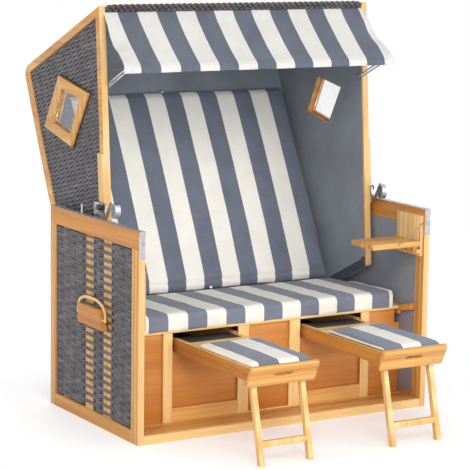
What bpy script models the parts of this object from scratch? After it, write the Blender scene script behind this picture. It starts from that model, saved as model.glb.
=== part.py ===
"""Hooded two-seat beach chair with a tilting hood, sun flap, trays and pull-out footrests.

Metres, +Z up, front toward -Y, origin at the centre of the basket's footprint on the floor.
"""
import math

import bmesh
import bpy
from mathutils import Matrix, Vector

# Driving dimensions
GAP = 0.0003                      # left between pieces that touch

BASKET_HALF = 0.640               # outer half-width of the lower basket
BASKET_BACK = 0.361               # half-depth of the lower basket
BASKET_TOP = 0.785                # height of the arm tops
WALL = 0.025                      # thickness of a side wall
STRIP = 0.0012                    # metal strip on the arms
FRONT_STILE = 0.053
REAR_STILE = 0.040
TOP_RAIL = 0.067
BOTTOM_RAIL = 0.047
SKIN = 0.008                      # woven skin
SKIN_INSET = 0.003                # woven skin behind the frame's face
LINING = 0.004
BATTEN = 0.009
SLOT_FRONT = (-0.130, -0.065)     # columns where the battens show, in Y
SLOT_REAR = (0.017, 0.079)
SLOT_LOW = 0.0692                 # foot of the lowest opening in the rear column
SLOT_PITCH = 0.0289
SLOT_ROWS = 22
SLOT_STAGGER = 0.0123             # the front column's openings sit this much higher
SLOT_POINT = 0.030                # pointed ends of an opening, where strands dive behind
SLOT_SHARE = 0.52                 # share of each row that is open
BEND_DROP = 0.100                 # how far the strip turns down the front stile
PEG_Y = 0.116
PEG_RADIUS = 0.005
PEG_HEIGHT = 0.037

REAR_WALL_TOP = 0.400
REAR_THICK = 0.025
SILL_HEIGHT = 0.032
SILL_DEPTH = 0.030
FLOOR_TOP = 0.030
SLAT_THICK = 0.0152
SLAT_GAP = 0.005
SLAT_COUNT = 7
BEARER_HALF = 0.020
BEARER_X = 0.400

SEAT_FRONT = -0.225               # front face of the seat box posts
SEAT_BOARD_LOW = 0.370
SEAT_BOARD_TOP = 0.382
SEAT_BOARD_REAR = 0.219
CUSHION_FRONT = -0.187
CUSHION_REAR = 0.203
CUSHION_TOP = 0.438
CUSHION_CROWN = 0.006
CUSHION_PLAY = 0.0025             # between the seat cushion and the basket walls
CUSHION_NOTCH = 0.092             # where the hood's walls begin to come down beside it
INNER_POST = 0.047                # widths of the seat box posts
OUTER_POST = 0.039
BAY_PLAY = 0.012                  # between a footrest and the posts beside it
POST_THICK = 0.010
PANEL_THICK = 0.006
PANEL_STEP = 0.003
BAY_RAIL_TOP = 0.084
BAY_SLOT_LOW = 0.293

FOOT_CENTRE = 0.2805              # middle of a footrest from the chair's middle
FOOT_HALF = 0.130
FOOT_RAIL = 0.018
FOOT_LOW = 0.296
FOOT_TOP = 0.346
FOOT_REAR = -0.200
FOOT_CROSS = 0.028
DECK_THICK = 0.008
BOARD_OVERHANG = 0.011
BOARD_THICK = 0.015
BOARD_TOP = (-0.788, 0.350)       # front face of the pull board, Y and Z
BOARD_FOOT = (-0.753, 0.276)
HAND_SLOT = 0.075
HAND_SLOT_TALL = 0.018
PAD_MARGIN = 0.015
PAD_FRONT = -0.763
PAD_REAR = -0.310
PAD_THICK = 0.019
LEG_HINGE = (-0.719, 0.315)
LEG_FOOT_Y = -0.795
LEG_THICK = 0.018
LEG_HALF = 0.011
LEG_PLAY = 0.0015                 # between a leg and the rail beside it
LEG_BAR_Z = 0.074
SLIDE_TRAVEL = 0.400
LEDGE_LOW = 0.276
LEDGE_TOP = 0.2955

TRAY_FRONT = -0.353
TRAY_REAR = -0.203
TRAY_TOP = 0.659
TRAY_THICK = 0.020
TRAY_REACH = 0.216                # from the hinge line to the free edge
TRAY_HINGE_Z = 0.620
TRAY_CLEAT = 0.016
BACKER_THICK = 0.012
BACKER_LOW = 0.600
BACKER_TOP = 0.782
BACKER_MARGIN = (0.003, 0.010)    # in front of and behind the tray
PIN = 0.0035
PIN_OFFSET = 0.007                # hinge line of a tray from its backing board
CHAIN_RADIUS = 0.002
CHAIN_AWAY = 0.099                # chain's eye from the hinge line
CHAIN_TOP_Z = 0.732

GRIP_PROUD = 0.022                # grip block proud of the side frame
GRIP_FRONT = -0.112
GRIP_REAR = 0.084
GRIP_LOW = 0.382
GRIP_TOP = 0.452
BAIL_Z = 0.417
BAIL_TOP = 0.490
BAIL_PROUD = 0.010
BAIL_RADIUS = 0.0045

HOOD_PLAY = 0.020                 # between a hood side and the basket wall
HOOD_THICK = 0.025
PIVOT = (0.240, 0.420)            # hood hinge line, Y and Z
PIVOT_RADIUS = 0.035
APEX = (0.0465, 1.564)
REAR_CORNER = (0.700, 1.283)
REAR_ROUND = 0.040
POST_FOOT_Y = -0.0364
POST_DEPTH = 0.032
ROOF_RAIL = 0.029
BACK_RAIL = 0.035
FOOT_RAIL_WIDTH = 0.033
BACK_BOW = 0.009
POST_STRIP = (0.840, 1.020)
POST_STRIP_DEPTH = 0.040
POST_STRIP_PROUD = 0.0065
BOSS_RADIUS = 0.020
HINGE_PIN = 0.006
BRAID_RADIUS = 0.0175
BRAID_CENTRE = (0.049, 1.553)
WINDOW_OUTER = ((0.368, 1.281), (0.117, 1.234), (0.256, 1.021), (0.491, 1.074))
WINDOW_INNER = ((0.339, 1.229), (0.192, 1.206), (0.269, 1.073), (0.405, 1.101))
WINDOW_PROUD = 0.010              # window frame proud of the hood's side frame
PANE = 0.003
BACK_PLAY = 0.007                 # between the back cushion and the hood's sides
BACK_LENGTH = 0.848
BACK_THICK = 0.040

AWNING_PIVOT = (0.040, 1.266)
AWNING_BAR = (-0.1283, 1.3442)
AWNING_PLAY = 0.002               # between the flap's cloth and the posts' inner faces
AWNING_THICK = 0.0025
AWNING_LINE = ((0.0455, 1.5352), (0.013, 1.479), (-0.022, 1.441), (-0.057, 1.404), (-0.085, 1.379),
               (-0.112, 1.364), (-0.134, 1.353), (-0.145, 1.341), (-0.143, 1.328))
ARM_THICK = 0.006
ARM_HALF = 0.0078
BAR_RADIUS = 0.0080

LOCK_PIVOT = (0.015, 0.812)
LOCK_RING = (-0.120, 0.830)
RING_OUTER = 0.025
RING_WALL = 0.004
RING_HALF = 0.019
KNOB_RADIUS = 0.020

BRACKET_FRONT = 0.037             # lock bracket in front of, behind, above and below its bolt
BRACKET_REAR = 0.055
BRACKET_UP = 0.024
BRACKET_DOWN = 0.048

# Places worked out from the sizes above
POST_OUTER = FOOT_CENTRE - FOOT_HALF - BAY_PLAY
POST_INNER = POST_OUTER - INNER_POST
END_INNER = FOOT_CENTRE + FOOT_HALF + BAY_PLAY
END_OUTER = END_INNER + OUTER_POST
BOARD_HALF = FOOT_HALF + BOARD_OVERHANG
PAD_HALF = FOOT_HALF - PAD_MARGIN
LEG_OUTER = FOOT_HALF - FOOT_RAIL - LEG_PLAY
WALL_FACE = BASKET_HALF - WALL
HOOD_OUTER = WALL_FACE - HOOD_PLAY
HOOD_INNER = HOOD_OUTER - HOOD_THICK
CUSHION_WIDE = WALL_FACE - CUSHION_PLAY
CUSHION_NARROW = HOOD_INNER - BACK_PLAY
BACK_HALF = HOOD_INNER - BACK_PLAY
AWNING_HALF = HOOD_INNER - AWNING_PLAY
BACKER_FACE = WALL_FACE - BACKER_THICK
TRAY_HINGE_X = BACKER_FACE - PIN_OFFSET
GRIP_FACE = BASKET_HALF + GRIP_PROUD
BAIL_X = BASKET_HALF + BAIL_PROUD

SIDES = (("left", -1), ("right", 1))


# Scene and materials
def clear_scene():
    """Remove whatever the new file holds."""
    for item in list(bpy.data.objects):
        bpy.data.objects.remove(item, do_unlink=True)


def make_collection(name):
    """Return a new collection linked to the scene."""
    group = bpy.data.collections.new(name)
    bpy.context.scene.collection.children.link(group)
    return group


clear_scene()
CHAIR = make_collection("hooded_beach_chair")
CUTTERS = make_collection("cutters")


def make_material(name, colour, roughness=0.5, metallic=0.0, alpha=1.0):
    """Return a plain material made with a Principled shader."""
    made = bpy.data.materials.new(name)
    made.use_nodes = True
    shader = made.node_tree.nodes["Principled BSDF"]
    shader.inputs["Base Color"].default_value = (*colour, 1.0)
    shader.inputs["Roughness"].default_value = roughness
    shader.inputs["Metallic"].default_value = metallic
    shader.inputs["Alpha"].default_value = alpha
    return made


HONEY = (0.74, 0.42, 0.15)
RED_WOOD = (0.55, 0.22, 0.07)
PALE_WOOD = (0.86, 0.62, 0.30)
WICKER = (0.11, 0.10, 0.11)
BLUE_GREY = (0.14, 0.16, 0.20)
CREAM = (0.87, 0.82, 0.70)
STEEL = (0.62, 0.63, 0.65)


def paint(item, colour, roughness=0.5, metallic=0.0, alpha=1.0):
    """Give an object its own material."""
    item.data.materials.clear()
    item.data.materials.append(make_material(item.name + "_finish", colour, roughness, metallic, alpha))
    return item


# Shape helpers
PLANES = {
    "YZ": Matrix(((0, 0, 1, 0), (1, 0, 0, 0), (0, 1, 0, 0), (0, 0, 0, 1))),
    "XZ": Matrix(((1, 0, 0, 0), (0, 0, -1, 0), (0, 1, 0, 0), (0, 0, 0, 1))),
    "XY": Matrix.Identity(4),
}
NORMAL_SIGN = {"YZ": 1, "XZ": -1, "XY": 1}


def add_object(name, mesh, group=None):
    """Link a mesh to the chair's collection, or to another one."""
    item = bpy.data.objects.new(name, mesh)
    (group or CHAIR).objects.link(item)
    return item


def mesh_from_curve(name, data):
    """Turn curve data into a clean mesh."""
    holder = bpy.data.objects.new(name + "_curve", data)
    bpy.context.scene.collection.objects.link(holder)
    graph = bpy.context.evaluated_depsgraph_get()
    mesh = bpy.data.meshes.new_from_object(holder.evaluated_get(graph))
    bpy.data.objects.remove(holder, do_unlink=True)
    work = bmesh.new()
    work.from_mesh(mesh)
    bmesh.ops.remove_doubles(work, verts=work.verts, dist=0.000005)
    bmesh.ops.recalc_face_normals(work, faces=work.faces)
    work.to_mesh(mesh)
    work.free()
    mesh.name = name
    return mesh


def plate(name, plane, outline, start, stop, holes=(), group=None):
    """Extrude a flat outline, with holes, between two positions along the plane's normal."""
    data = bpy.data.curves.new(name, "CURVE")
    data.dimensions = "2D"
    data.fill_mode = "BOTH"
    data.extrude = abs(stop - start) / 2
    for loop in (outline, *holes):
        spline = data.splines.new("POLY")
        spline.points.add(len(loop) - 1)
        for point, place in zip(spline.points, loop):
            point.co = (place[0], place[1], 0.0, 1.0)
        spline.use_cyclic_u = True
    mesh = mesh_from_curve(name, data)
    middle = (start + stop) / 2 * NORMAL_SIGN[plane]
    mesh.transform(PLANES[plane] @ Matrix.Translation((0, 0, middle)))
    return add_object(name, mesh, group)


def box(name, low, high, group=None):
    """Return a box between two corners."""
    low = Vector(low)
    high = Vector(high)
    work = bmesh.new()
    bmesh.ops.create_cube(work, size=1.0)
    size = high - low
    bmesh.ops.transform(work, matrix=Matrix.Translation((low + high) / 2) @ Matrix.Diagonal((*size, 1)),
                        verts=work.verts)
    mesh = bpy.data.meshes.new(name)
    work.to_mesh(mesh)
    work.free()
    return add_object(name, mesh, group)


def side_box(name, side, inner, outer, low, high, group=None):
    """Return a box on one side of the chair: inner and outer are distances from the middle."""
    reach = sorted((side * inner, side * outer))
    return box(name, (reach[0], low[0], low[1]), (reach[1], high[0], high[1]), group)


def side_plate(name, side, outline, inner, outer, holes=(), group=None):
    """Return an upright plate on one side of the chair."""
    reach = sorted((side * inner, side * outer))
    return plate(name, "YZ", outline, reach[0], reach[1], holes, group)


def smooth(item):
    """Shade an object smooth."""
    for face in item.data.polygons:
        face.use_smooth = True
    return item


def round_bar(name, start, stop, radius, sides=24, group=None):
    """Return a straight cylinder between two points."""
    start = Vector(start)
    stop = Vector(stop)
    way = stop - start
    turn = way.to_track_quat("Z", "Y").to_matrix().to_4x4()
    work = bmesh.new()
    bmesh.ops.create_cone(work, cap_ends=True, segments=sides, radius1=radius, radius2=radius,
                          depth=way.length)
    bmesh.ops.transform(work, matrix=Matrix.Translation((start + stop) / 2) @ turn, verts=work.verts)
    mesh = bpy.data.meshes.new(name)
    work.to_mesh(mesh)
    work.free()
    return smooth(add_object(name, mesh, group))


def bent_bar(name, points, radius, resolution=2, group=None):
    """Return a bar of round section along a line of points."""
    data = bpy.data.curves.new(name, "CURVE")
    data.dimensions = "3D"
    data.bevel_depth = radius
    data.bevel_resolution = resolution
    data.use_fill_caps = True
    spline = data.splines.new("POLY")
    spline.points.add(len(points) - 1)
    for point, place in zip(spline.points, points):
        point.co = (*place, 1.0)
    return smooth(add_object(name, mesh_from_curve(name, data), group))


def combine(target, operand, operation="UNION"):
    """Add a live exact Boolean and put its operand among the cutters."""
    for group in list(operand.users_collection):
        group.objects.unlink(operand)
    CUTTERS.objects.link(operand)
    operand.hide_render = True
    operand.display_type = "WIRE"
    operand.parent = target
    change = target.modifiers.new(operand.name, "BOOLEAN")
    change.operation = operation
    change.solver = "EXACT"
    change.object = operand
    return target


def cut(target, operand):
    """Take one shape out of another."""
    return combine(target, operand, "DIFFERENCE")


def loft(name, rings):
    """Skin closed rings of points into one solid with flat ends."""
    work = bmesh.new()
    rows = [[work.verts.new(place) for place in ring] for ring in rings]
    count = len(rows[0])
    for near, far in zip(rows, rows[1:]):
        for index in range(count):
            after = (index + 1) % count
            work.faces.new((near[index], near[after], far[after], far[index]))
    work.faces.new(rows[0])
    work.faces.new(rows[-1])
    bmesh.ops.recalc_face_normals(work, faces=work.faces)
    mesh = bpy.data.meshes.new(name)
    work.to_mesh(mesh)
    work.free()
    return smooth(add_object(name, mesh))


def rectangle(low, high):
    """Return the outline of a rectangle."""
    return [(low[0], low[1]), (high[0], low[1]), (high[0], high[1]), (low[0], high[1])]


def circle(centre, radius, sides=24):
    """Return the outline of a circle."""
    angles = [math.tau * index / sides for index in range(sides)]
    return [(centre[0] + radius * math.cos(angle), centre[1] + radius * math.sin(angle)) for angle in angles]


def fillet(points, radii, steps=4):
    """Round the corners of an outline, each by its own radius."""
    outline = []
    count = len(points)
    for index, radius in enumerate(radii):
        corner = Vector(points[index])
        if not radius:
            outline.append(tuple(corner))
            continue
        before = (Vector(points[index - 1]) - corner).normalized()
        after = (Vector(points[(index + 1) % count]) - corner).normalized()
        half = before.angle(after) / 2
        reach = radius / math.tan(half)
        centre = corner + (before + after).normalized() * (radius / math.sin(half))
        first = corner + before * reach - centre
        last = corner + after * reach - centre
        turn = first.angle_signed(last)
        for step in range(steps + 1):
            outline.append(tuple(centre + Matrix.Rotation(-turn * step / steps, 2) @ first))
    return outline


def make_hinge(name, place):
    """Return an empty on a joint's axis."""
    empty = bpy.data.objects.new(name, None)
    empty.empty_display_size = WALL
    empty.location = place
    CHAIR.objects.link(empty)
    return empty


def carry(empty, items):
    """Hang objects on an empty without moving them."""
    back = Matrix.Translation(-empty.location)
    for item in items:
        item.parent = empty
        item.matrix_parent_inverse = back


# Lower basket
def slot_rows(column):
    """Return the openings of one column: they show the batten and run to a point on either side of it."""
    tall = SLOT_PITCH * SLOT_SHARE
    start = SLOT_LOW + (SLOT_STAGGER if column is SLOT_FRONT else 0.0)
    near, far = column
    slots = []
    for row in range(SLOT_ROWS):
        low = start + SLOT_PITCH * row
        middle = low + tall / 2
        slots.append([(near, low), (far, low), (far + SLOT_POINT, middle), (far, low + tall), (near, low + tall),
                      (near - SLOT_POINT, middle)])
    return slots


def side_opening(inset=0.0):
    """Return the opening of a basket side frame, drawn in by an amount."""
    low = (-BASKET_BACK + FRONT_STILE + inset, BOTTOM_RAIL + inset)
    high = (BASKET_BACK - REAR_STILE - inset, BASKET_TOP - STRIP - TOP_RAIL - inset)
    return rectangle(low, high)


def skin_reach():
    """Return the inner and outer faces of a basket side's woven skin."""
    outer = BASKET_HALF - SKIN_INSET
    return outer - SKIN, outer


def batten_reach():
    """Return the inner and outer faces of the battens behind the skin."""
    outer = skin_reach()[0] - GAP
    return outer - BATTEN, outer


def side_frame(name, side):
    """Frame of one basket wall: stiles, rails, two show battens and the hood's hinge batten."""
    outline = rectangle((-BASKET_BACK, 0.0), (BASKET_BACK, BASKET_TOP - STRIP - GAP))
    inner, outer = WALL_FACE, BASKET_HALF
    frame = side_plate(f"side_frame_{name}", side, outline, inner, outer, [side_opening()])
    near, far = batten_reach()
    overlap = WALL / 5
    low = BOTTOM_RAIL - overlap
    high = BASKET_TOP - STRIP - TOP_RAIL + overlap
    hinge_half = BOSS_RADIUS + PEG_RADIUS
    columns = (SLOT_FRONT, SLOT_REAR, (PIVOT[0] - hinge_half, PIVOT[0] + hinge_half))
    for index, column in enumerate(columns):
        batten = side_box(f"batten_{name}_{index}", side, near, far, (column[0], low), (column[1], high))
        combine(frame, batten)
    hole = round_bar(f"hinge_hole_{name}", (side * (near - WALL), *PIVOT), (side * (far + GAP), *PIVOT),
                     HINGE_PIN + PIN / 5)
    cut(frame, hole)
    return paint(frame, HONEY, 0.35)


def side_weave(name, side):
    """Woven skin of one basket wall, open where the two show battens are laced in."""
    holes = slot_rows(SLOT_FRONT) + slot_rows(SLOT_REAR)
    skin = side_plate(f"side_weave_{name}", side, side_opening(GAP), *skin_reach(), holes)
    return paint(skin, WICKER, 0.7)


def side_lining(name, side):
    """Cloth-covered inner panel of one basket wall, with a hole for the hinge pin."""
    inner = WALL_FACE
    hole = circle(PIVOT, HINGE_PIN + PIN)
    panel = side_plate(f"side_lining_{name}", side, side_opening(GAP), inner, inner + LINING, [hole])
    return paint(panel, BLUE_GREY, 0.9)


def arm_strip(name, side):
    """Bent metal strip on the arm top, turned down over the front stile, with its peg."""
    low = BASKET_TOP - STRIP
    front = -BASKET_BACK - STRIP
    bend = BASKET_TOP - BEND_DROP
    outline = [(BASKET_BACK, low), (BASKET_BACK, BASKET_TOP), (front, BASKET_TOP), (front, bend),
               (front + STRIP - GAP, bend), (front + STRIP - GAP, low)]
    strip = side_plate(f"arm_strip_{name}", side, outline, WALL_FACE, BASKET_HALF)
    middle = side * (WALL_FACE + BASKET_HALF) / 2
    peg = round_bar(f"peg_{name}", (middle, PEG_Y, BASKET_TOP - STRIP / 2),
                    (middle, PEG_Y, BASKET_TOP + PEG_HEIGHT), PEG_RADIUS, 16)
    combine(strip, peg)
    return paint(strip, STEEL, 0.3, 1.0)


def rear_wall():
    """Low rear wall: frame with two battens, and its woven skin."""
    half = WALL_FACE - GAP
    front = BASKET_BACK - REAR_THICK
    opening = rectangle((-half + REAR_STILE, BOTTOM_RAIL), (half - REAR_STILE, REAR_WALL_TOP - BOTTOM_RAIL))
    frame = plate("rear_frame", "XZ", rectangle((-half, 0.0), (half, REAR_WALL_TOP)), front, BASKET_BACK,
                  [opening])
    far = BASKET_BACK - SKIN_INSET - SKIN - GAP
    width = SLOT_REAR[1] - SLOT_REAR[0]
    overlap = WALL / 5
    for index, middle in enumerate((-POST_OUTER, POST_OUTER)):
        low = (middle - width / 2, far - BATTEN, BOTTOM_RAIL - overlap)
        high = (middle + width / 2, far, REAR_WALL_TOP - BOTTOM_RAIL + overlap)
        combine(frame, box(f"rear_batten_{index}", low, high))
    paint(frame, HONEY, 0.35)
    edge = rectangle((-half + REAR_STILE + GAP, BOTTOM_RAIL + GAP),
                     (half - REAR_STILE - GAP, REAR_WALL_TOP - BOTTOM_RAIL - GAP))
    skin = plate("rear_weave", "XZ", edge, far + GAP, far + GAP + SKIN)
    paint(skin, WICKER, 0.7)


def floor_parts():
    """Front sill and the slatted floor on its three bearers."""
    half = WALL_FACE - GAP
    front = -BASKET_BACK
    sill = box("front_sill", (-half, front, 0.0), (half, front + SILL_DEPTH, SILL_HEIGHT))
    paint(sill, PALE_WOOD, 0.35)
    start = front + SILL_DEPTH + GAP
    stop = BASKET_BACK - REAR_THICK - GAP
    floor = box("floor_frame", (-BEARER_HALF, start, 0.0), (BEARER_HALF, stop, SLAT_THICK))
    for index, middle in enumerate((-BEARER_X, BEARER_X)):
        low = (middle - BEARER_HALF, start, 0.0)
        combine(floor, box(f"bearer_{index}", low, (middle + BEARER_HALF, stop, SLAT_THICK)))
    pitch = (stop - start + SLAT_GAP) / SLAT_COUNT
    for index in range(SLAT_COUNT):
        near = start + pitch * index
        low = (-half, near, FLOOR_TOP - SLAT_THICK)
        combine(floor, box(f"slat_{index}", low, (half, near + pitch - SLAT_GAP, FLOOR_TOP)))
    paint(floor, PALE_WOOD, 0.4)


def mirrored(points):
    """Return an outline followed by its mirror image, as one loop."""
    return points + [(-x, z) for x, z in reversed(points)]


def seat_box_front():
    """Posts and bay rails of the seat box, and the panels behind them."""
    low = FLOOR_TOP + GAP
    high = SEAT_BOARD_LOW - GAP
    link = low + SLAT_GAP
    half_comb = [(POST_INNER, link), (POST_INNER, high), (POST_OUTER, high), (POST_OUTER, BAY_RAIL_TOP),
                 (END_INNER, BAY_RAIL_TOP), (END_INNER, high), (END_OUTER, high), (END_OUTER, low)]
    rear = SEAT_FRONT + POST_THICK
    frame = plate("box_front_frame", "XZ", mirrored(half_comb), SEAT_FRONT, rear)
    paint(frame, HONEY, 0.35)
    face = rear + GAP
    lap = PANEL_STEP
    centre = plate("box_front_panel", "XZ", rectangle((-POST_INNER - lap, low), (POST_INNER + lap, high)),
                   face, face + PANEL_THICK)
    notch = LEDGE_TOP + FOOT_RAIL
    wall = WALL_FACE - PANEL_STEP
    for name, side in SIDES:
        bay = rectangle((POST_INNER, low), (END_OUTER, BAY_SLOT_LOW))
        bay = [(side * x, z) for x, z in bay]
        combine(centre, plate(f"bay_panel_{name}", "XZ", bay, face + PANEL_STEP,
                              face + PANEL_STEP + PANEL_THICK))
        end = [(END_OUTER - lap, low), (wall, low), (wall, notch), (wall - WALL, notch),
               (wall - WALL, high), (END_OUTER - lap, high)]
        end = [(side * x, z) for x, z in end]
        combine(centre, plate(f"end_panel_{name}", "XZ", end, face, face + PANEL_THICK))
    paint(centre, RED_WOOD, 0.35)


def seat_support():
    """Ledgers on the walls, the rear cross rail and the middle rail under the seat board."""
    half = WALL_FACE - GAP
    inner = half - POST_DEPTH / 2
    low = FOOT_TOP + PANEL_STEP
    high = SEAT_BOARD_LOW - GAP
    rear = SEAT_BOARD_REAR
    front = SEAT_FRONT - PANEL_STEP
    rails = box("seat_rails", (-half, rear - WALL / 2, low), (half, rear, high))
    middle = (SEAT_FRONT + WALL, SEAT_BOARD_REAR - PANEL_STEP)
    combine(rails, box("seat_middle_rail", (-WALL / 2, middle[0], low), (WALL / 2, middle[1], high)))
    for name, side in SIDES:
        combine(rails, side_box(f"ledger_{name}", side, inner, half, (front, low), (rear, high)))
        top = SEAT_BOARD_TOP + FOOT_RAIL / 3
        lip = side_box(f"ledger_front_{name}", side, inner, half,
                       (-BASKET_BACK + SILL_DEPTH, SEAT_BOARD_LOW - PANEL_STEP * 2), (front + GAP * 2, top))
        combine(rails, lip)
    paint(rails, PALE_WOOD, 0.4)
    wide = WALL_FACE - GAP * 3
    board = box("seat_board", (-wide, SEAT_FRONT + PANEL_STEP / 2, SEAT_BOARD_LOW),
                (wide, rear, SEAT_BOARD_TOP))
    paint(board, PALE_WOOD, 0.4)


def cushion_ring(half, low, high, crown, round_edge, place):
    """Return one cross-section of a cushion, mapped by place(across, height)."""
    middle = (low + high) / 2
    thick = (high - low) / 2
    across_shares = (-0.8, -0.55, -0.28, 0.0, 0.28, 0.55, 0.8)
    angles = [math.radians(angle) for angle in (0, 32, 62, 90)]
    ring = []
    for side in (1, -1):
        turns = angles if side > 0 else angles[::-1]
        for angle in turns:
            ring.append((side * (half - round_edge * (1 - math.cos(angle))), middle + thick * math.sin(angle)))
        if side > 0:
            for share in reversed(across_shares):
                ring.append((share * half, high + crown * (1 - share * share)))
    for side in (-1, 1):
        turns = angles[1:] if side < 0 else angles[:0:-1]
        for angle in turns:
            ring.append((side * (half - round_edge * (1 - math.cos(angle))), middle - thick * math.sin(angle)))
    return [place(across, height) for across, height in ring]


def seat_cushion():
    """Full-width seat cushion, narrower behind where the hood's walls come down beside it."""
    low = SEAT_BOARD_TOP + GAP
    tall = CUSHION_TOP - low
    depth = CUSHION_REAR - CUSHION_FRONT
    round_front = WALL * 1.2
    stations = [
        (0.0, 0.30, CUSHION_WIDE), (round_front * 0.16, 0.62, CUSHION_WIDE),
        (round_front * 0.55, 0.88, CUSHION_WIDE), (round_front * 1.2, 1.0, CUSHION_WIDE),
        (depth * 0.36, 1.0, CUSHION_WIDE), (depth * 0.60, 1.0, CUSHION_WIDE),
        (CUSHION_NOTCH - CUSHION_FRONT - GAP * 10, 1.0, CUSHION_WIDE),
        (CUSHION_NOTCH - CUSHION_FRONT, 1.0, CUSHION_NARROW),
        (depth - round_front, 1.0, CUSHION_NARROW), (depth - round_front * 0.3, 0.82, CUSHION_NARROW),
        (depth, 0.34, CUSHION_NARROW),
    ]
    rings = []
    for back, share, half in stations:
        swell = math.sin(math.pi * min(back / depth, 1.0))
        middle = low + tall / 2
        lower = max(low, middle - tall * share / 2)
        if back < round_front or back > depth - round_front * 0.5:
            lower = low + tall * (1 - share) * 0.35
        upper = middle + tall * share / 2
        rings.append(cushion_ring(half, lower, upper, CUSHION_CROWN * swell, WALL * 0.7,
                                  lambda across, height, y=CUSHION_FRONT + back: (across, y, height)))
    cushion = loft("seat_cushion", rings)
    return paint(cushion, CREAM, 0.9)


def runner(name, side):
    """Guide for one footrest: two side boards with ledges, tied at the rear."""
    middle = side * FOOT_CENTRE
    front = SEAT_FRONT + POST_THICK + PANEL_THICK + PANEL_STEP + GAP * 2
    rear = BASKET_BACK - SKIN_INSET - SKIN - BATTEN - GAP * 2
    clear = FOOT_HALF + GAP * 12
    thick = FOOT_RAIL * 0.8
    tie = box(f"runner_{name}", (middle - clear - thick, rear - thick, LEDGE_LOW),
              (middle + clear + thick, rear, FOOT_LOW + FOOT_RAIL))
    for index, hand in enumerate((-1, 1)):
        edges = sorted((middle + hand * clear, middle + hand * (clear + thick)))
        combine(tie, box(f"runner_board_{name}_{index}", (edges[0], front, LEDGE_LOW),
                         (edges[1], rear - GAP * 3, FOOT_TOP)))
        edges = sorted((middle + hand * (LEG_OUTER - PIN), middle + hand * (clear + thick / 2)))
        combine(tie, box(f"runner_ledge_{name}_{index}", (edges[0], front, LEDGE_LOW + PIN),
                         (edges[1], rear - thick / 2, LEDGE_TOP)))
    return paint(tie, PALE_WOOD, 0.5)


# Trays
def tray_map(side, folded):
    """Return the map from (away from the wall, above the hinge) to X and Z."""
    if folded:
        return lambda away, above: (side * (TRAY_HINGE_X - above), TRAY_HINGE_Z - away)
    return lambda away, above: (side * (TRAY_HINGE_X - away), TRAY_HINGE_Z + above)


def tray_board(name, side):
    """Board on the inside of the basket wall with two lugs for the tray's pin."""
    inner = BACKER_FACE
    outer = WALL_FACE - GAP
    board = side_box(f"tray_board_{name}", side, inner, outer, (TRAY_FRONT + BACKER_MARGIN[0], BACKER_LOW),
                     (TRAY_REAR + BACKER_MARGIN[1], BACKER_TOP))
    paint(board, HONEY, 0.35)
    lug = PIN * 2
    for index, (near, far) in enumerate(((TRAY_FRONT + PIN, TRAY_FRONT + PIN * 3),
                                         (TRAY_REAR - PIN * 3, TRAY_REAR - PIN))):
        outline = [(side * (TRAY_HINGE_X - lug), TRAY_HINGE_Z - lug),
                   (side * (TRAY_HINGE_X - lug), TRAY_HINGE_Z + lug),
                   (side * (inner + PIN), TRAY_HINGE_Z + lug), (side * (inner + PIN), TRAY_HINGE_Z - lug)]
        combine(board, plate(f"lug_{name}_{index}", "XZ", outline, near, far))
        bore = round_bar(f"lug_bore_{name}_{index}", (side * TRAY_HINGE_X, near - GAP * 2, TRAY_HINGE_Z),
                         (side * TRAY_HINGE_X, far + GAP * 2, TRAY_HINGE_Z), PIN + GAP * 2, 20)
        cut(board, bore)
    return board


def tray(name, side, folded):
    """Small tray with the cleat and pin it hinges on."""
    to_xz = tray_map(side, folded)
    above = TRAY_TOP - TRAY_HINGE_Z
    root = -PIN * 1.4
    top = [to_xz(*place) for place in rectangle((root, above - TRAY_THICK), (TRAY_REACH, above))]
    made = plate(f"tray_{name}", "XZ", top, TRAY_FRONT, TRAY_REAR)
    cleat = [to_xz(*place) for place in rectangle((-PIN, -PIN * 1.2), (TRAY_CLEAT, above - TRAY_THICK / 2))]
    inset = PIN * 4
    combine(made, plate(f"cleat_{name}", "XZ", cleat, TRAY_FRONT + inset, TRAY_REAR - inset))
    ends = (TRAY_FRONT + PIN * 1.3, TRAY_REAR - PIN * 1.3)
    hinge = to_xz(0.0, 0.0)
    combine(made, round_bar(f"tray_pin_{name}", (hinge[0], ends[0], hinge[1]), (hinge[0], ends[1], hinge[1]),
                            PIN, 20))
    paint(made, PALE_WOOD, 0.3)
    empty = make_hinge(f"tray_hinge_{name}", (hinge[0], (TRAY_FRONT + TRAY_REAR) / 2, hinge[1]))
    carry(empty, [made])
    return empty


def tray_chain(name, side, folded, empty):
    """Chain of one tray: hooked on the stile when the tray is up, hanging when it is down."""
    start = tray_map(side, folded)(CHAIN_AWAY, TRAY_TOP - TRAY_HINGE_Z - TRAY_THICK * 0.35)
    length = math.hypot(WALL_FACE - TRAY_HINGE_X + CHAIN_AWAY, CHAIN_TOP_Z - TRAY_TOP)
    y = TRAY_FRONT - CHAIN_RADIUS - GAP
    if folded:
        places = [(start[0], y, start[1] - length * share) for share in (0.0, 0.5, 1.0)]
    else:
        end = (side * (WALL_FACE - CHAIN_RADIUS), CHAIN_TOP_Z)
        sag = PANEL_STEP
        places = []
        for share in (0.0, 0.25, 0.5, 0.75, 1.0):
            x = start[0] + (end[0] - start[0]) * share
            z = start[1] + (end[1] - start[1]) * share - sag * math.sin(math.pi * share)
            places.append((x, y, z))
    chain = bent_bar(f"tray_chain_{name}", places, CHAIN_RADIUS)
    paint(chain, STEEL, 0.3, 1.0)
    carry(empty, [chain])
    return chain


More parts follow.
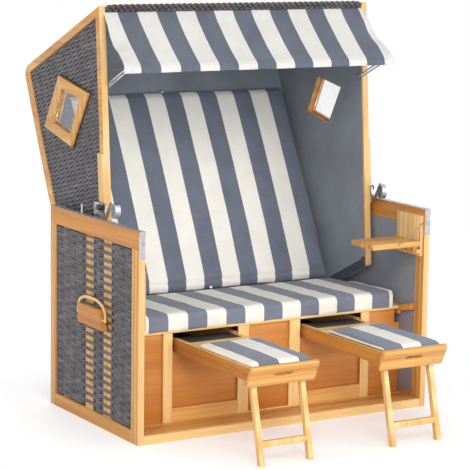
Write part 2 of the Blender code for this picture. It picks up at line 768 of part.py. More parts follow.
# Carrying handles
def grip(name, side):
    """Wooden grip block on the outside of the basket and the bail that folds over it."""
    face = skin_reach()[1] + GAP
    block = side_box(f"grip_block_{name}", side, face, GRIP_FACE, (GRIP_FRONT, GRIP_LOW),
                     (GRIP_REAR, GRIP_TOP))
    pin_depth = WALL / 2
    x = side * BAIL_X
    for index, (edge, hand) in enumerate(((GRIP_FRONT, 1), (GRIP_REAR, -1))):
        cut(block, round_bar(f"bail_hole_{name}_{index}", (x, edge - hand * PIN, BAIL_Z),
                             (x, edge + hand * (pin_depth + PIN), BAIL_Z), PIN + GAP * 2, 16))
    paint(block, HONEY, 0.35)
    out = BAIL_RADIUS + PANEL_STEP * 2
    front = GRIP_FRONT - out
    rear = GRIP_REAR + out
    middle = (front + rear) / 2
    half = (rear - front) / 2
    rise = BAIL_TOP - BAIL_Z
    arch = [(x, front, BAIL_Z - BAIL_RADIUS)]
    for step in range(13):
        angle = math.pi * step / 12
        swing = math.copysign(abs(math.cos(angle)) ** 0.5, math.cos(angle))
        arch.append((x, middle - half * swing, BAIL_Z + rise * math.sin(angle) ** 0.75))
    arch.append((x, rear, BAIL_Z - BAIL_RADIUS))
    bail = bent_bar(f"bail_{name}", arch, BAIL_RADIUS)
    for index, (edge, hand) in enumerate(((front, 1), (rear, -1))):
        combine(bail, round_bar(f"bail_pin_{name}_{index}", (x, edge, BAIL_Z),
                                (x, edge + hand * (out + pin_depth), BAIL_Z), PIN, 16))
    paint(bail, HONEY, 0.35)
    carry(make_hinge(f"bail_hinge_{name}", (x, middle, BAIL_Z)), [bail])


# Footrests
def board_frame():
    """Return the direction down the pull board and its forward normal, in Y and Z."""
    down = (Vector(BOARD_FOOT) - Vector(BOARD_TOP)).normalized()
    return down, Vector((down.y, -down.x))


def board_back(height):
    """Return the Y of the pull board's rear face at a height."""
    down, ahead = board_frame()
    start = Vector(BOARD_TOP) - ahead * BOARD_THICK
    return start.x + (height - start.y) * down.x / down.y


def footrest(name, side):
    """One pull-out footrest: frame and deck, pad, pull board and folding legs."""
    middle = side * FOOT_CENTRE
    outline = [(board_back(FOOT_TOP) + GAP, FOOT_TOP), (board_back(FOOT_LOW) + GAP, FOOT_LOW),
               (FOOT_REAR, FOOT_LOW), (FOOT_REAR, FOOT_TOP)]
    inner = FOOT_HALF - FOOT_RAIL
    frame = plate(f"footrest_frame_{name}", "YZ", outline, middle - FOOT_HALF, middle - inner)
    combine(frame, plate(f"footrest_rail_{name}", "YZ", outline, middle + inner, middle + FOOT_HALF))
    lap = PANEL_STEP / 2
    combine(frame, box(f"footrest_deck_{name}", (middle - inner - lap, PAD_FRONT, FOOT_TOP - DECK_THICK),
                       (middle + inner + lap, FOOT_REAR - FOOT_CROSS + lap, FOOT_TOP)))
    combine(frame, box(f"footrest_cross_{name}", (middle - inner - lap, FOOT_REAR - FOOT_CROSS, FOOT_LOW),
                       (middle + inner + lap, FOOT_REAR, FOOT_TOP)))
    hinge_y, hinge_z = LEG_HINGE
    cut(frame, round_bar(f"leg_bore_{name}", (middle - FOOT_HALF - PIN, hinge_y, hinge_z),
                         (middle + FOOT_HALF + PIN, hinge_y, hinge_z), PIN + GAP * 2, 20))
    paint(frame, HONEY, 0.35)
    pad = footrest_pad(name, middle)
    board = pull_board(name, middle)
    slide = make_hinge(f"footrest_slide_{name}", (middle, FOOT_REAR, FOOT_LOW))
    carry(slide, [frame, pad, board])
    legs = footrest_legs(name, middle)
    hinge = make_hinge(f"leg_hinge_{name}", (middle, hinge_y, hinge_z))
    carry(hinge, [legs])


def footrest_pad(name, middle):
    """Thin pad on the footrest."""
    low = FOOT_TOP + GAP
    depth = PAD_REAR - PAD_FRONT
    rings = []
    for share, tall in ((0.0, 0.35), (0.02, 0.8), (0.06, 1.0), (0.35, 1.06), (0.65, 1.06), (0.94, 1.0),
                        (0.98, 0.8), (1.0, 0.35)):
        y = PAD_FRONT + depth * share
        rings.append(cushion_ring(PAD_HALF, low, low + (PAD_THICK - PIN) * tall, PIN / 2 * tall, PAD_THICK * 0.5,
                                  lambda across, height, y=y: (middle + across, y, height)))
    return paint(loft(f"footrest_pad_{name}", rings), CREAM, 0.9)


def pull_board(name, middle):
    """Tilted board across the footrest's front with a hand slot."""
    down, ahead = board_frame()
    length = (Vector(BOARD_FOOT) - Vector(BOARD_TOP)).length
    edge = PANEL_STEP * 2
    outline = fillet([(-BOARD_HALF, 0.0), (BOARD_HALF, 0.0), (BOARD_HALF, -length), (-BOARD_HALF, -length)],
                     [edge, edge, edge, edge])
    slot_middle = -length * 0.45
    tall = HAND_SLOT_TALL / 2
    wide = HAND_SLOT / 2
    slot = fillet(rectangle((-wide, slot_middle - tall), (wide, slot_middle + tall)), [tall * 0.98] * 4)
    board = plate(f"footrest_board_{name}", "XY", outline, 0.0, BOARD_THICK, [slot])
    across = Vector((1, 0, 0))
    up = Vector((0, -down.x, -down.y))
    back = Vector((0, -ahead.x, -ahead.y))
    origin = Vector((middle, *BOARD_TOP))
    turn = Matrix((across, up, back)).transposed().to_4x4()
    board.data.transform(Matrix.Translation(origin) @ turn)
    if turn.determinant() < 0:
        board.data.flip_normals()
    return paint(board, HONEY, 0.35)


def footrest_legs(name, middle):
    """Two legs joined by a bar, hinged inside the footrest's rails."""
    hinge = Vector(LEG_HINGE)
    foot = Vector((LEG_FOOT_Y, 0.0))
    along = (foot - hinge).normalized()
    side = Vector((along.y, -along.x)) * LEG_HALF
    stretch = side.x * along.x / along.y
    outline = []
    for step in range(9):
        turn = Matrix.Rotation(math.pi * step / 8, 2)
        outline.append(tuple(hinge + turn @ side))
    if outline[4][1] < hinge.y:
        outline = [tuple(hinge + Matrix.Rotation(-math.pi * step / 8, 2) @ side) for step in range(9)]
    first = Vector(outline[-1])
    last = Vector(outline[0])
    for start in (first, last):
        reach = -start.y / along.y
        outline.append((start.x + along.x * reach, 0.0))
    outer = LEG_OUTER
    inner = LEG_OUTER - LEG_THICK
    legs = plate(f"footrest_legs_{name}", "YZ", outline, middle - outer, middle - inner)
    combine(legs, plate(f"leg_{name}", "YZ", outline, middle + inner, middle + outer))
    bar_y = hinge.x + (LEG_BAR_Z - hinge.y) * along.x / along.y
    lap = PANEL_STEP / 2
    half = LEG_HALF * 0.8
    combine(legs, box(f"leg_bar_{name}", (middle - inner - lap, bar_y - half, LEG_BAR_Z - LEG_HALF),
                      (middle + inner + lap, bar_y + half, LEG_BAR_Z + LEG_HALF)))
    for index, hand in enumerate((-1, 1)):
        combine(legs, round_bar(f"leg_pin_{name}_{index}", (middle + hand * (outer - PIN), *LEG_HINGE),
                                (middle + hand * (FOOT_HALF - PIN), *LEG_HINGE), PIN, 20))
    if abs(stretch) > LEG_THICK:
        raise ValueError("the footrest legs lean too far")
    return paint(legs, PALE_WOOD, 0.4)


# Hood shape
def back_direction():
    """Return the way down the hood's back, touching the hinge circle from behind."""
    corner = Vector(REAR_CORNER)
    to_pivot = Vector(PIVOT) - corner
    swing = math.asin(PIVOT_RADIUS / to_pivot.length)
    return (Matrix.Rotation(swing, 2) @ to_pivot).normalized()


def hood_vectors():
    """Return the roof and back directions with their inward normals."""
    roof = (Vector(REAR_CORNER) - Vector(APEX)).normalized()
    back = back_direction()
    roof_in = Vector((roof.y, -roof.x))
    back_in = Vector((back.y, -back.x))
    return roof, roof_in, back, back_in


def hood_samples():
    """Return samples of the roof-and-back line as (way along, place, inward normal)."""
    roof, roof_in, back, back_in = hood_vectors()
    corner = Vector(REAR_CORNER)
    half = (-roof).angle(back) / 2
    reach = REAR_ROUND / math.tan(half)
    centre = corner - roof * reach + roof_in * REAR_ROUND
    roof_length = (corner - Vector(APEX)).length - reach
    samples = [(0.0, Vector(APEX), roof_in), (roof_length, corner - roof * reach, roof_in)]
    swing = roof_in.angle(back_in)
    arc_steps = 5
    along = roof_length
    for step in range(1, arc_steps + 1):
        share = step / arc_steps
        normal = roof_in.lerp(back_in, share).normalized()
        along = roof_length + REAR_ROUND * swing * share
        samples.append((along, centre - normal * REAR_ROUND, normal))
    start = corner + back * reach
    touch = (Vector(PIVOT) - start).dot(back)
    back_steps = 6
    for step in range(1, back_steps + 1):
        share = step / back_steps
        bow = BACK_BOW * math.sin(math.pi * share)
        samples.append((along + touch * share, start + back * touch * share - back_in * bow, back_in))
    return samples


HOOD = hood_samples()
HOOD_BACK_END = HOOD[-1][0]
HOOD_ROOF_END = HOOD[1][0]
HOOD_BACK_START = HOOD[6][0]


def hood_point(way, depth):
    """Return the place a distance along the hood's line and a depth inside it."""
    _, _, back, back_in = hood_vectors()
    if way >= HOOD_BACK_END:
        place = HOOD[-1][1] + back * (way - HOOD_BACK_END)
        return tuple(place + back_in * depth)
    for (start, first, normal), (stop, last, other) in zip(HOOD, HOOD[1:]):
        if way <= stop:
            share = (way - start) / (stop - start)
            inward = normal.lerp(other, share).normalized()
            return tuple(first.lerp(last, share) + inward * depth)
    return tuple(HOOD[-1][1])


def hood_strip(name, start, stop, shallow, deep, half):
    """Return a piece that follows the hood's line, across the whole width."""
    ways = [start] + [sample[0] for sample in HOOD if start < sample[0] < stop] + [stop]
    outline = [hood_point(way, shallow) for way in ways]
    outline += [hood_point(way, deep) for way in reversed(ways)]
    return plate(name, "YZ", outline, -half, half)


def crossing(place, way, other, other_way):
    """Return where two lines meet."""
    span = way.x * other_way.y - way.y * other_way.x
    gap = other - place
    return place + way * ((gap.x * other_way.y - gap.y * other_way.x) / span)


def hood_lines(post, roof, back, foot):
    """Return the four straight lines of the hood, each drawn in by a width."""
    roof_way, roof_in, back_way, back_in = hood_vectors()
    pivot = Vector(PIVOT)
    foot_line = pivot + back_way * (PIVOT_RADIUS - foot)
    apex = Vector(APEX)
    foot_point = crossing(pivot + back_way * PIVOT_RADIUS, back_in, Vector((POST_FOOT_Y, PIVOT[1])), Vector((0, 1)))
    post_way = (apex - foot_point).normalized()
    post_in = Vector((post_way.y, -post_way.x))
    return ((foot_point + post_in * post, post_way), (apex + roof_in * roof, roof_way),
            (pivot - back_in * (PIVOT_RADIUS - back), back_way), (foot_line, back_in))


def hood_corners(post, roof, back, foot):
    """Return the hood's four corners, drawn in: apex, rear, hinge foot and post foot."""
    lines = hood_lines(post, roof, back, foot)
    order = ((0, 1), (1, 2), (2, 3), (3, 0))
    return [crossing(*lines[first], *lines[second]) for first, second in order]


def hood_loop(post, roof, back, foot, rear_round, foot_round, post_round):
    """Return the hood's side outline, drawn in, with its rounded corners and bowed back."""
    apex, rear, hinge, post_foot = hood_corners(post, roof, back, foot)
    _, _, back_way, back_in = hood_vectors()
    bowed = []
    for sample in HOOD[7:-1]:
        bowed.append(sample[1] + back_in * back)
    points = [apex, rear, *bowed, hinge, post_foot]
    radii = [0.0, rear_round] + [0.0] * len(bowed) + [foot_round, post_round]
    return fillet([tuple(point) for point in points], radii)


def hood_outline():
    """Return the outer outline of a hood side."""
    return hood_loop(0.0, 0.0, 0.0, 0.0, REAR_ROUND, PIVOT_RADIUS * 0.99, WALL * 0.6)


def hood_opening(inset=0.0):
    """Return the opening of a hood side frame, drawn in by an amount."""
    return hood_loop(POST_DEPTH + inset, ROOF_RAIL + inset, BACK_RAIL + inset, FOOT_RAIL_WIDTH + inset,
                     0.0, 0.0, 0.0)


def grown(points, amount):
    """Move an outline's corners away from its middle."""
    middle = sum((Vector(point) for point in points), Vector((0, 0))) / len(points)
    return [tuple(Vector(point) + (Vector(point) - middle).normalized() * amount) for point in points]


def post_line(height):
    """Return the Y of the hood post's front edge at a height."""
    start, way = hood_lines(0.0, 0.0, 0.0, 0.0)[0]
    return start.x + (height - start.y) * way.x / way.y


# Hood pieces
def hood_frame(name, side):
    """Side frame of the hood with its battens, outer post strip and hinge pin."""
    frame = side_plate(f"hood_frame_{name}", side, hood_outline(), HOOD_INNER, HOOD_OUTER, [hood_opening()])
    near = HOOD_INNER + LINING + GAP
    far = HOOD_OUTER - SKIN_INSET - SKIN - GAP
    under_window = min(z for _, z in WINDOW_OUTER) - WALL
    lap = WALL / 5
    for index, height in enumerate((under_window, BASKET_TOP)):
        front = post_line(height) + POST_DEPTH - lap
        rear = back_y(height) - BACK_RAIL
        combine(frame, side_box(f"hood_batten_{name}_{index}", side, near, far,
                                (front, height - WALL / 2), (rear, height + WALL / 2)))
    low, high = POST_STRIP
    strip = [(post_line(low), low), (post_line(low) + POST_STRIP_DEPTH, low),
             (post_line(high) + POST_STRIP_DEPTH, high), (post_line(high), high)]
    combine(frame, side_plate(f"post_strip_{name}", side, strip, HOOD_OUTER - PANEL_STEP,
                              HOOD_OUTER + POST_STRIP_PROUD))
    inside = WALL_FACE - GAP * 2
    combine(frame, round_bar(f"hinge_boss_{name}", (side * (HOOD_OUTER - PANEL_STEP), *PIVOT),
                             (side * inside, *PIVOT), BOSS_RADIUS))
    combine(frame, round_bar(f"hinge_pin_{name}", (side * (inside - PANEL_STEP), *PIVOT),
                             (side * (skin_reach()[0] - GAP * 2), *PIVOT), HINGE_PIN))
    cut(frame, round_bar(f"flap_bore_{name}", (side * (HOOD_INNER - PIN), *AWNING_PIVOT),
                         (side * (HOOD_OUTER - WALL / 2), *AWNING_PIVOT), PIN + GAP * 2, 20))
    return paint(frame, HONEY, 0.35)


def back_y(height):
    """Return the Y of the hood's straight back line at a height."""
    start, way = hood_lines(0.0, 0.0, 0.0, 0.0)[2]
    return start.x + (height - start.y) * way.x / way.y


def hood_side_panels(name, side):
    """Woven skin and lining of one hood side, each open round the window."""
    hole = grown(WINDOW_OUTER, GAP * 2)
    outer = HOOD_OUTER - SKIN_INSET
    skin = side_plate(f"hood_weave_{name}", side, hood_opening(GAP), outer - SKIN, outer, [hole])
    paint(skin, WICKER, 0.7)
    lining = side_plate(f"hood_lining_{name}", side, hood_opening(GAP), HOOD_INNER, HOOD_INNER + LINING,
                        [hole])
    paint(lining, BLUE_GREY, 0.9)


def window(name, side):
    """Diamond window: wooden frame and clear pane."""
    frame = side_plate(f"window_frame_{name}", side, list(WINDOW_OUTER), HOOD_INNER,
                       HOOD_OUTER + WINDOW_PROUD, [list(WINDOW_INNER)])
    paint(frame, HONEY, 0.35)
    middle = (HOOD_INNER + HOOD_OUTER) / 2
    pane = side_plate(f"window_pane_{name}", side, grown(WINDOW_INNER, -GAP), middle - PANE / 2,
                      middle + PANE / 2)
    paint(pane, (0.8, 0.85, 0.9), 0.1, 0.0, 0.4)


def hood_middle():
    """Everything that spans the hood: weave, lining, rails and the braided edge."""
    half = HOOD_INNER - GAP
    shallow = SKIN_INSET
    deep = SKIN_INSET + SKIN
    front = WALL
    rail_deep = deep + GAP + LINING * 2
    weave = hood_strip("hood_weave_back", front, HOOD_BACK_END + BACK_RAIL * 0.8, shallow, deep, half)
    paint(weave, WICKER, 0.7)
    header = hood_strip("header_rail", front, front + BRAID_RADIUS * 2, deep + GAP, ROOF_RAIL, half)
    paint(header, PALE_WOOD, 0.4)
    lining_start = front + BRAID_RADIUS * 2 + GAP
    lining = hood_strip("hood_lining_back", lining_start, HOOD_BACK_END + PANEL_STEP, rail_deep + GAP,
                        rail_deep + GAP + LINING, half)
    paint(lining, BLUE_GREY, 0.9)
    ridge_start = HOOD_BACK_START + WALL
    ridge = hood_strip("ridge_rail", ridge_start, ridge_start + WALL * 2, deep + GAP, rail_deep, half)
    paint(ridge, PALE_WOOD, 0.4)
    low_start = HOOD_BACK_END + PANEL_STEP + GAP * 2
    lower = hood_strip("lower_rail", low_start, low_start + WALL, deep + GAP, deep + WALL * 1.8, half)
    paint(lower, PALE_WOOD, 0.4)
    braid = round_bar("edge_braid", (-half, *BRAID_CENTRE), (half, *BRAID_CENTRE), BRAID_RADIUS)
    paint(braid, WICKER, 0.7)


def back_cushion():
    """Tall back cushion hanging on the hood's lining, tapering towards its rounded top."""
    _, _, back_way, back_in = hood_vectors()
    up = -back_way
    foot = hood_lines(0.0, 0.0, 0.0, 0.0)[2][0] + up * LINING
    low = SKIN_INSET + SKIN + LINING * 3 + GAP * 3
    shares = ((0.0, 0.45), (0.012, 0.85), (0.031, 1.0), (0.30, 1.04), (0.59, 0.95), (0.85, 0.80),
              (0.967, 0.66), (0.988, 0.46), (1.0, 0.22))
    rings = []
    for along, share in shares:
        way = BACK_LENGTH * along
        swell = math.sin(math.pi * along)
        base = foot + up * way

        def place(across, height, base=base):
            spot = base + back_in * height
            return (across, spot.x, spot.y)

        rings.append(cushion_ring(BACK_HALF, low, low + BACK_THICK * share, CUSHION_CROWN * swell,
                                  WALL * 0.6, place))
    return paint(loft("back_cushion", rings), CREAM, 0.9)


# Hood locks
def lock(name, side):
    """Clamp on the hood post: bracket with its bolt and knob, and the lever with its ring."""
    pivot = Vector(LOCK_PIVOT)
    inner = HOOD_OUTER + GAP
    outer = inner + PANEL_STEP * 2
    low = (pivot.x - BRACKET_FRONT, pivot.y - BRACKET_DOWN)
    outline = fillet(rectangle(low, (pivot.x + BRACKET_REAR, pivot.y + BRACKET_UP)), [PANEL_STEP * 2] * 4)
    bracket = side_plate(f"lock_bracket_{name}", side, outline, inner, outer)
    lever_in = outer + PANEL_STEP / 2
    lever_out = lever_in + PANEL_STEP
    combine(bracket, round_bar(f"lock_bolt_{name}", (side * (outer - PANEL_STEP), *pivot),
                               (side * (lever_out + PANEL_STEP), *pivot), PIN))
    combine(bracket, round_bar(f"lock_knob_{name}", (side * (lever_out + PANEL_STEP / 2), *pivot),
                               (side * (lever_out + FOOT_RAIL), *pivot), KNOB_RADIUS))
    paint(bracket, STEEL, 0.35, 1.0)
    ring = Vector(LOCK_RING)
    along = (ring - pivot).normalized()
    across = Vector((-along.y, along.x)) * KNOB_RADIUS * 0.45
    tip = ring - along * (RING_OUTER - RING_WALL / 2)
    tail = pivot - along * KNOB_RADIUS * 0.5
    bar = [tuple(tail + across), tuple(tail - across), tuple(tip - across), tuple(tip + across)]
    lever = side_plate(f"lock_lever_{name}", side, bar, lever_in, lever_out, [circle(pivot, PIN + GAP * 2, 20)])
    middle = (lever_in + lever_out) / 2
    combine(lever, side_plate(f"lock_ring_{name}", side, circle(ring, RING_OUTER), middle - RING_HALF,
                              middle + RING_HALF, [circle(ring, RING_OUTER - RING_WALL)]))
    paint(lever, STEEL, 0.3, 1.0)
    hinge = make_hinge(f"lock_hinge_{name}", (side * middle, *pivot))
    carry(hinge, [lever])
    return bracket, hinge


# Sun flap
def awning_bow():
    """Two slotted arms and the front bar of the sun flap."""
    pivot = Vector(AWNING_PIVOT)
    bar = Vector(AWNING_BAR)
    along = (bar - pivot).normalized()
    across = Vector((-along.y, along.x))
    tail = pivot - along * ARM_HALF
    tip = bar + along * ARM_HALF
    outline = fillet([tuple(tail - across * ARM_HALF), tuple(tip - across * ARM_HALF),
                      tuple(tip + across * ARM_HALF), tuple(tail + across * ARM_HALF)], [ARM_HALF * 0.95] * 4)
    slot_half = ARM_HALF * 0.45
    start = pivot + along * ARM_HALF * 3
    stop = bar - along * ARM_HALF * 3
    slot = [tuple(start - across * slot_half), tuple(stop - across * slot_half),
            tuple(stop + across * slot_half), tuple(start + across * slot_half)]
    outer = HOOD_INNER - PANEL_STEP
    inner = outer - ARM_THICK
    bow = round_bar("awning_bow", (-inner - PIN, *bar), (inner + PIN, *bar), BAR_RADIUS, 16)
    for name, side in SIDES:
        combine(bow, side_plate(f"flap_arm_{name}", side, outline, inner, outer, [slot]))
        combine(bow, round_bar(f"flap_pin_{name}", (side * (outer - PANEL_STEP), *pivot),
                               (side * (HOOD_OUTER - WALL / 2 - PANEL_STEP), *pivot), PIN, 20))
    return paint(bow, STEEL, 0.35, 1.0)


def awning_cloth():
    """Sloping sun flap with soft folds near its ends and a hem over the bar."""
    shares = (-1.0, -0.985, -0.955, -0.92, -0.86, -0.7, -0.4, 0.0, 0.4, 0.7, 0.86, 0.92, 0.955, 0.985, 1.0)
    line = [Vector(place) for place in AWNING_LINE]
    last = len(line) - 1
    rings = []
    for number, share in enumerate(shares):
        wave = math.sin(number * math.pi * 0.9) * AWNING_THICK * 1.6 * max(abs(share) - 0.6, 0.0)
        front = []
        back = []
        for index, place in enumerate(line):
            way = (line[min(index + 1, last)] - line[max(index - 1, 0)]).normalized()
            out = Vector((way.y, -way.x))
            ease = math.sin(math.pi * index / last)
            middle = place + out * wave * ease
            front.append(middle + out * AWNING_THICK / 2)
            back.append(middle - out * AWNING_THICK / 2)
        loop = front + back[::-1]
        rings.append([(share * AWNING_HALF, spot.x, spot.y) for spot in loop])
    return paint(loft("awning_cloth", rings), CREAM, 0.9)


# Assembly
def build_basket():
    """Lower basket with everything fixed to it."""
    for name, side in SIDES:
        side_frame(name, side)
        side_weave(name, side)
        side_lining(name, side)
        arm_strip(name, side)
        tray_board(name, side)
        folded = side < 0
        empty = tray(name, side, folded)
        tray_chain(name, side, folded, empty)
        grip(name, side)
        runner(name, side)
        footrest(name, side)
    rear_wall()
    floor_parts()
    seat_box_front()
    seat_support()
    seat_cushion()


def build_hood():
    """Tilting hood, its locks and the sun flap, hung on their hinge empties."""
    hinge = make_hinge("hood_hinge", (0.0, *PIVOT))
    before = set(CHAIR.objects)
    for name, side in SIDES:
        hood_frame(name, side)
        hood_side_panels(name, side)
        window(name, side)
        lock(name, side)
    hood_middle()
    back_cushion()
    flap = [awning_bow(), awning_cloth()]
    carry(make_hinge("flap_hinge", (0.0, *AWNING_PIVOT)), flap)
    carry(hinge, [item for item in CHAIR.objects if item not in before and item.parent is None])


build_basket()
build_hood()
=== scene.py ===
"""Dressed model of the hooded two-seat beach chair.

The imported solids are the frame, and this file adds finishes, woven skins, soft goods and small hardware.
Metres, +Z up, front toward -Y, origin at the centre of the lower basket's footprint.
"""

import logging
import math
from dataclasses import dataclass, field
from enum import Enum
from typing import Callable, Iterable, Sequence

import bmesh
import bpy
from mathutils import Matrix, Vector, noise


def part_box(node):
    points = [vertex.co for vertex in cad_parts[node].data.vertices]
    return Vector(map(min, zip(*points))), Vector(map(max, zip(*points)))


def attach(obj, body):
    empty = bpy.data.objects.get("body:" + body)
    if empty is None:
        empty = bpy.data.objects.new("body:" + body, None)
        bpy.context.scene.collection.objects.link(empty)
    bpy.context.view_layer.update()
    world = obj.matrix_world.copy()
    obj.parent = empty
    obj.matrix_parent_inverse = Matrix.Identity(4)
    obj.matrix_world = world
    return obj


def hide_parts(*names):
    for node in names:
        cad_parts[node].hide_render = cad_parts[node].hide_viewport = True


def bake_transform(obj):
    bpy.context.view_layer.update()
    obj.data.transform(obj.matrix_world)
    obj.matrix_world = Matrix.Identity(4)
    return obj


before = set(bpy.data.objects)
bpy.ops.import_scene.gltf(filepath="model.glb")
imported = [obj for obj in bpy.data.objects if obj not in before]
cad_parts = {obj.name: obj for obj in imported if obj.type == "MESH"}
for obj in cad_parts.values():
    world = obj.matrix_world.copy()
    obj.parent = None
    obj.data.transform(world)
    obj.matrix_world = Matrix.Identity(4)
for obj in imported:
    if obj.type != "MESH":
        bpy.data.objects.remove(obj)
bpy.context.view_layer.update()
LOG = logging.getLogger("beach_chair")
SIDES = (("left", -1.0), ("right", 1.0))
FAR = 9.0
Point = tuple[float, float, float]
Flat = tuple[float, float]
Colour = tuple[float, float, float]


class Grain(Enum):
    """Turn that lays the pattern's X axis along a board's grain."""

    ACROSS = (0.0, 0.0, 0.0)
    DEPTH = (0.0, 0.0, -math.pi / 2)
    UPRIGHT = (0.0, math.pi / 2, 0.0)
    ROOF = (math.radians(23.27), 0.0, -math.pi / 2)
    BACK = (math.radians(-64.0), 0.0, -math.pi / 2)


class Graph:
    """Short writer for a node tree."""

    def __init__(self, tree: bpy.types.NodeTree) -> None:
        """Start writing in a tree."""
        self.tree = tree

    @classmethod
    def of_material(cls, name: str) -> "tuple[Graph, bpy.types.Material]":
        """Make an empty material.

        Args:
            name: The material's name.

        Returns:
            The writer of its tree, and the material.
        """
        made = bpy.data.materials.new(name)
        made.use_nodes = True
        made.node_tree.nodes.clear()
        return cls(made.node_tree), made

    def add(self, kind: str, inputs: dict | None = None, **settings: object) -> bpy.types.Node:
        """Add a node.

        Args:
            kind: The node's Blender type.
            inputs: Values or sockets for its inputs, by name or number.
            **settings: Properties of the node.

        Returns:
            The new node.
        """
        node = self.tree.nodes.new(kind)
        for key, value in settings.items():
            setattr(node, key, value)
        for key, value in (inputs or {}).items():
            socket = node.inputs[key]
            if isinstance(value, bpy.types.NodeSocket):
                self.tree.links.new(value, socket)
            else:
                socket.default_value = value
        return node

    def place(self) -> bpy.types.NodeSocket:
        """Return the socket with object coordinates."""
        return self.add("ShaderNodeTexCoord").outputs["Object"]

    def math(self, operation: str, first: object, second: object = 0.0, third: object = 0.0) -> bpy.types.NodeSocket:
        """Add a Math node."""
        node = self.add("ShaderNodeMath", {0: first, 1: second, 2: third}, operation=operation)
        return node.outputs[0]

    def noise(self, place: bpy.types.NodeSocket, scale: float, detail: float = 3.0,
              roughness: float = 0.55) -> bpy.types.NodeSocket:
        """Add a noise texture."""
        node = self.add("ShaderNodeTexNoise", {"Vector": place, "Scale": scale, "Detail": detail,
                                               "Roughness": roughness})
        return node.outputs["Fac"]

    def ramp(self, value: bpy.types.NodeSocket, stops: Sequence[tuple[float, Colour]]) -> bpy.types.NodeSocket:
        """Add a colour ramp.

        Args:
            value: Socket that drives the ramp.
            stops: Positions and colours.

        Returns:
            The colour's socket.
        """
        node = self.add("ShaderNodeValToRGB", {"Fac": value})
        band = node.color_ramp
        while len(band.elements) < len(stops):
            band.elements.new(0.5)
        for element, (position, colour) in zip(band.elements, stops):
            element.position = position
            element.color = (*colour, 1.0)
        return node.outputs["Color"]

    def mix(self, share: object, first: object, second: object) -> bpy.types.NodeSocket:
        """Mix two colours.

        Args:
            share: Share of the second colour.
            first: First colour or socket.
            second: Second colour or socket.

        Returns:
            The mixed colour's socket.
        """
        node = self.add("ShaderNodeMix", data_type="RGBA")
        for key, value in ((0, share), (6, first), (7, second)):
            if isinstance(value, bpy.types.NodeSocket):
                self.tree.links.new(value, node.inputs[key])
            elif key == 0:
                node.inputs[key].default_value = value
            else:
                node.inputs[key].default_value = (*value, 1.0)
        return node.outputs[2]

    def surface(self, colour: object, height: object, depth: float, **sockets: object) -> None:
        """End a material in a Principled shader with a bump.

        Args:
            colour: Base colour or its socket.
            height: Socket that the bump reads, or None.
            depth: Height of the bump in metres.
            **sockets: Other Principled inputs, with _ for a space.
        """
        shader = self.add("ShaderNodeBsdfPrincipled")
        if isinstance(colour, bpy.types.NodeSocket):
            self.tree.links.new(colour, shader.inputs["Base Color"])
        else:
            shader.inputs["Base Color"].default_value = (*colour, 1.0)
        if height is not None:
            bump = self.add("ShaderNodeBump", {"Height": height, "Distance": depth, "Strength": 1.0})
            self.tree.links.new(bump.outputs[0], shader.inputs["Normal"])
        for key, value in sockets.items():
            socket = shader.inputs[key.replace("_", " ")]
            if isinstance(value, bpy.types.NodeSocket):
                self.tree.links.new(value, socket)
            else:
                socket.default_value = value
        self.add("ShaderNodeOutputMaterial", {"Surface": shader.outputs[0]})


class Finish:
    """Base of the finishes: each makes its material once."""

    made: dict[str, bpy.types.Material] = {}

    def material(self) -> bpy.types.Material:
        """Make this finish's material on first use.

        Returns:
            The material.
        """
        if self.name not in Finish.made:
            graph, made = Graph.of_material(self.name)
            self.write(graph)
            Finish.made[self.name] = made
        return Finish.made[self.name]

    def write(self, graph: Graph) -> None:
        """Write the finish's nodes."""
        raise NotImplementedError


@dataclass(frozen=True)
class Varnish(Finish):
    """Varnished wood with streaks, growth bands and pores along its grain."""

    name: str
    light: Colour
    dark: Colour
    grain: Grain
    slot: str = "honey_wood"
    shift: float = 0.0
    streak: float = 46.0

    def write(self, graph: Graph) -> None:
        """Write wood nodes that read object coordinates.

        Args:
            graph: Writer of the material's tree.
        """
        place = graph.place()
        turned = graph.add("ShaderNodeMapping", {"Vector": place, "Rotation": self.grain.value,
                                                 "Location": (self.shift, self.shift * 0.7, self.shift * 0.4)})
        drawn = graph.add("ShaderNodeMapping", {"Vector": turned.outputs[0],
                                                "Scale": (1.3, self.streak, self.streak)})
        fibre = graph.noise(drawn.outputs[0], 1.0, 6.0, 0.68)
        fine = graph.add("ShaderNodeMapping", {"Vector": turned.outputs[0], "Scale": (9.0, 380.0, 380.0)})
        pores = graph.noise(fine.outputs[0], 1.0, 3.0, 0.6)
        soft = graph.add("ShaderNodeMapping", {"Vector": turned.outputs[0], "Scale": (0.8, 7.0, 7.0)})
        broad = graph.noise(soft.outputs[0], 1.0, 2.0, 0.5)
        bands = graph.add("ShaderNodeTexWave", {"Vector": drawn.outputs[0], "Scale": 0.22, "Distortion": 9.0,
                                                "Detail": 3.0, "Detail Scale": 0.6},
                          bands_direction="Y").outputs["Fac"]
        tone = graph.math("MULTIPLY_ADD", fibre, 0.56, graph.math("MULTIPLY", bands, 0.14))
        tone = graph.math("MULTIPLY_ADD", broad, 0.10, tone)
        tone = graph.math("MULTIPLY_ADD", pores, 0.20, tone)
        middle = tuple((a + b) / 2 for a, b in zip(self.light, self.dark))
        colour = graph.ramp(tone, ((0.36, self.dark), (0.50, middle), (0.64, self.light)))
        rough = graph.math("MULTIPLY_ADD", pores, 0.20, 0.30)
        height = graph.math("MULTIPLY_ADD", pores, 0.5, fibre)
        graph.surface(colour, height, 0.00045, Roughness=rough, Specular_IOR_Level=0.35, Coat_Weight=0.12,
                      Coat_Roughness=0.22)


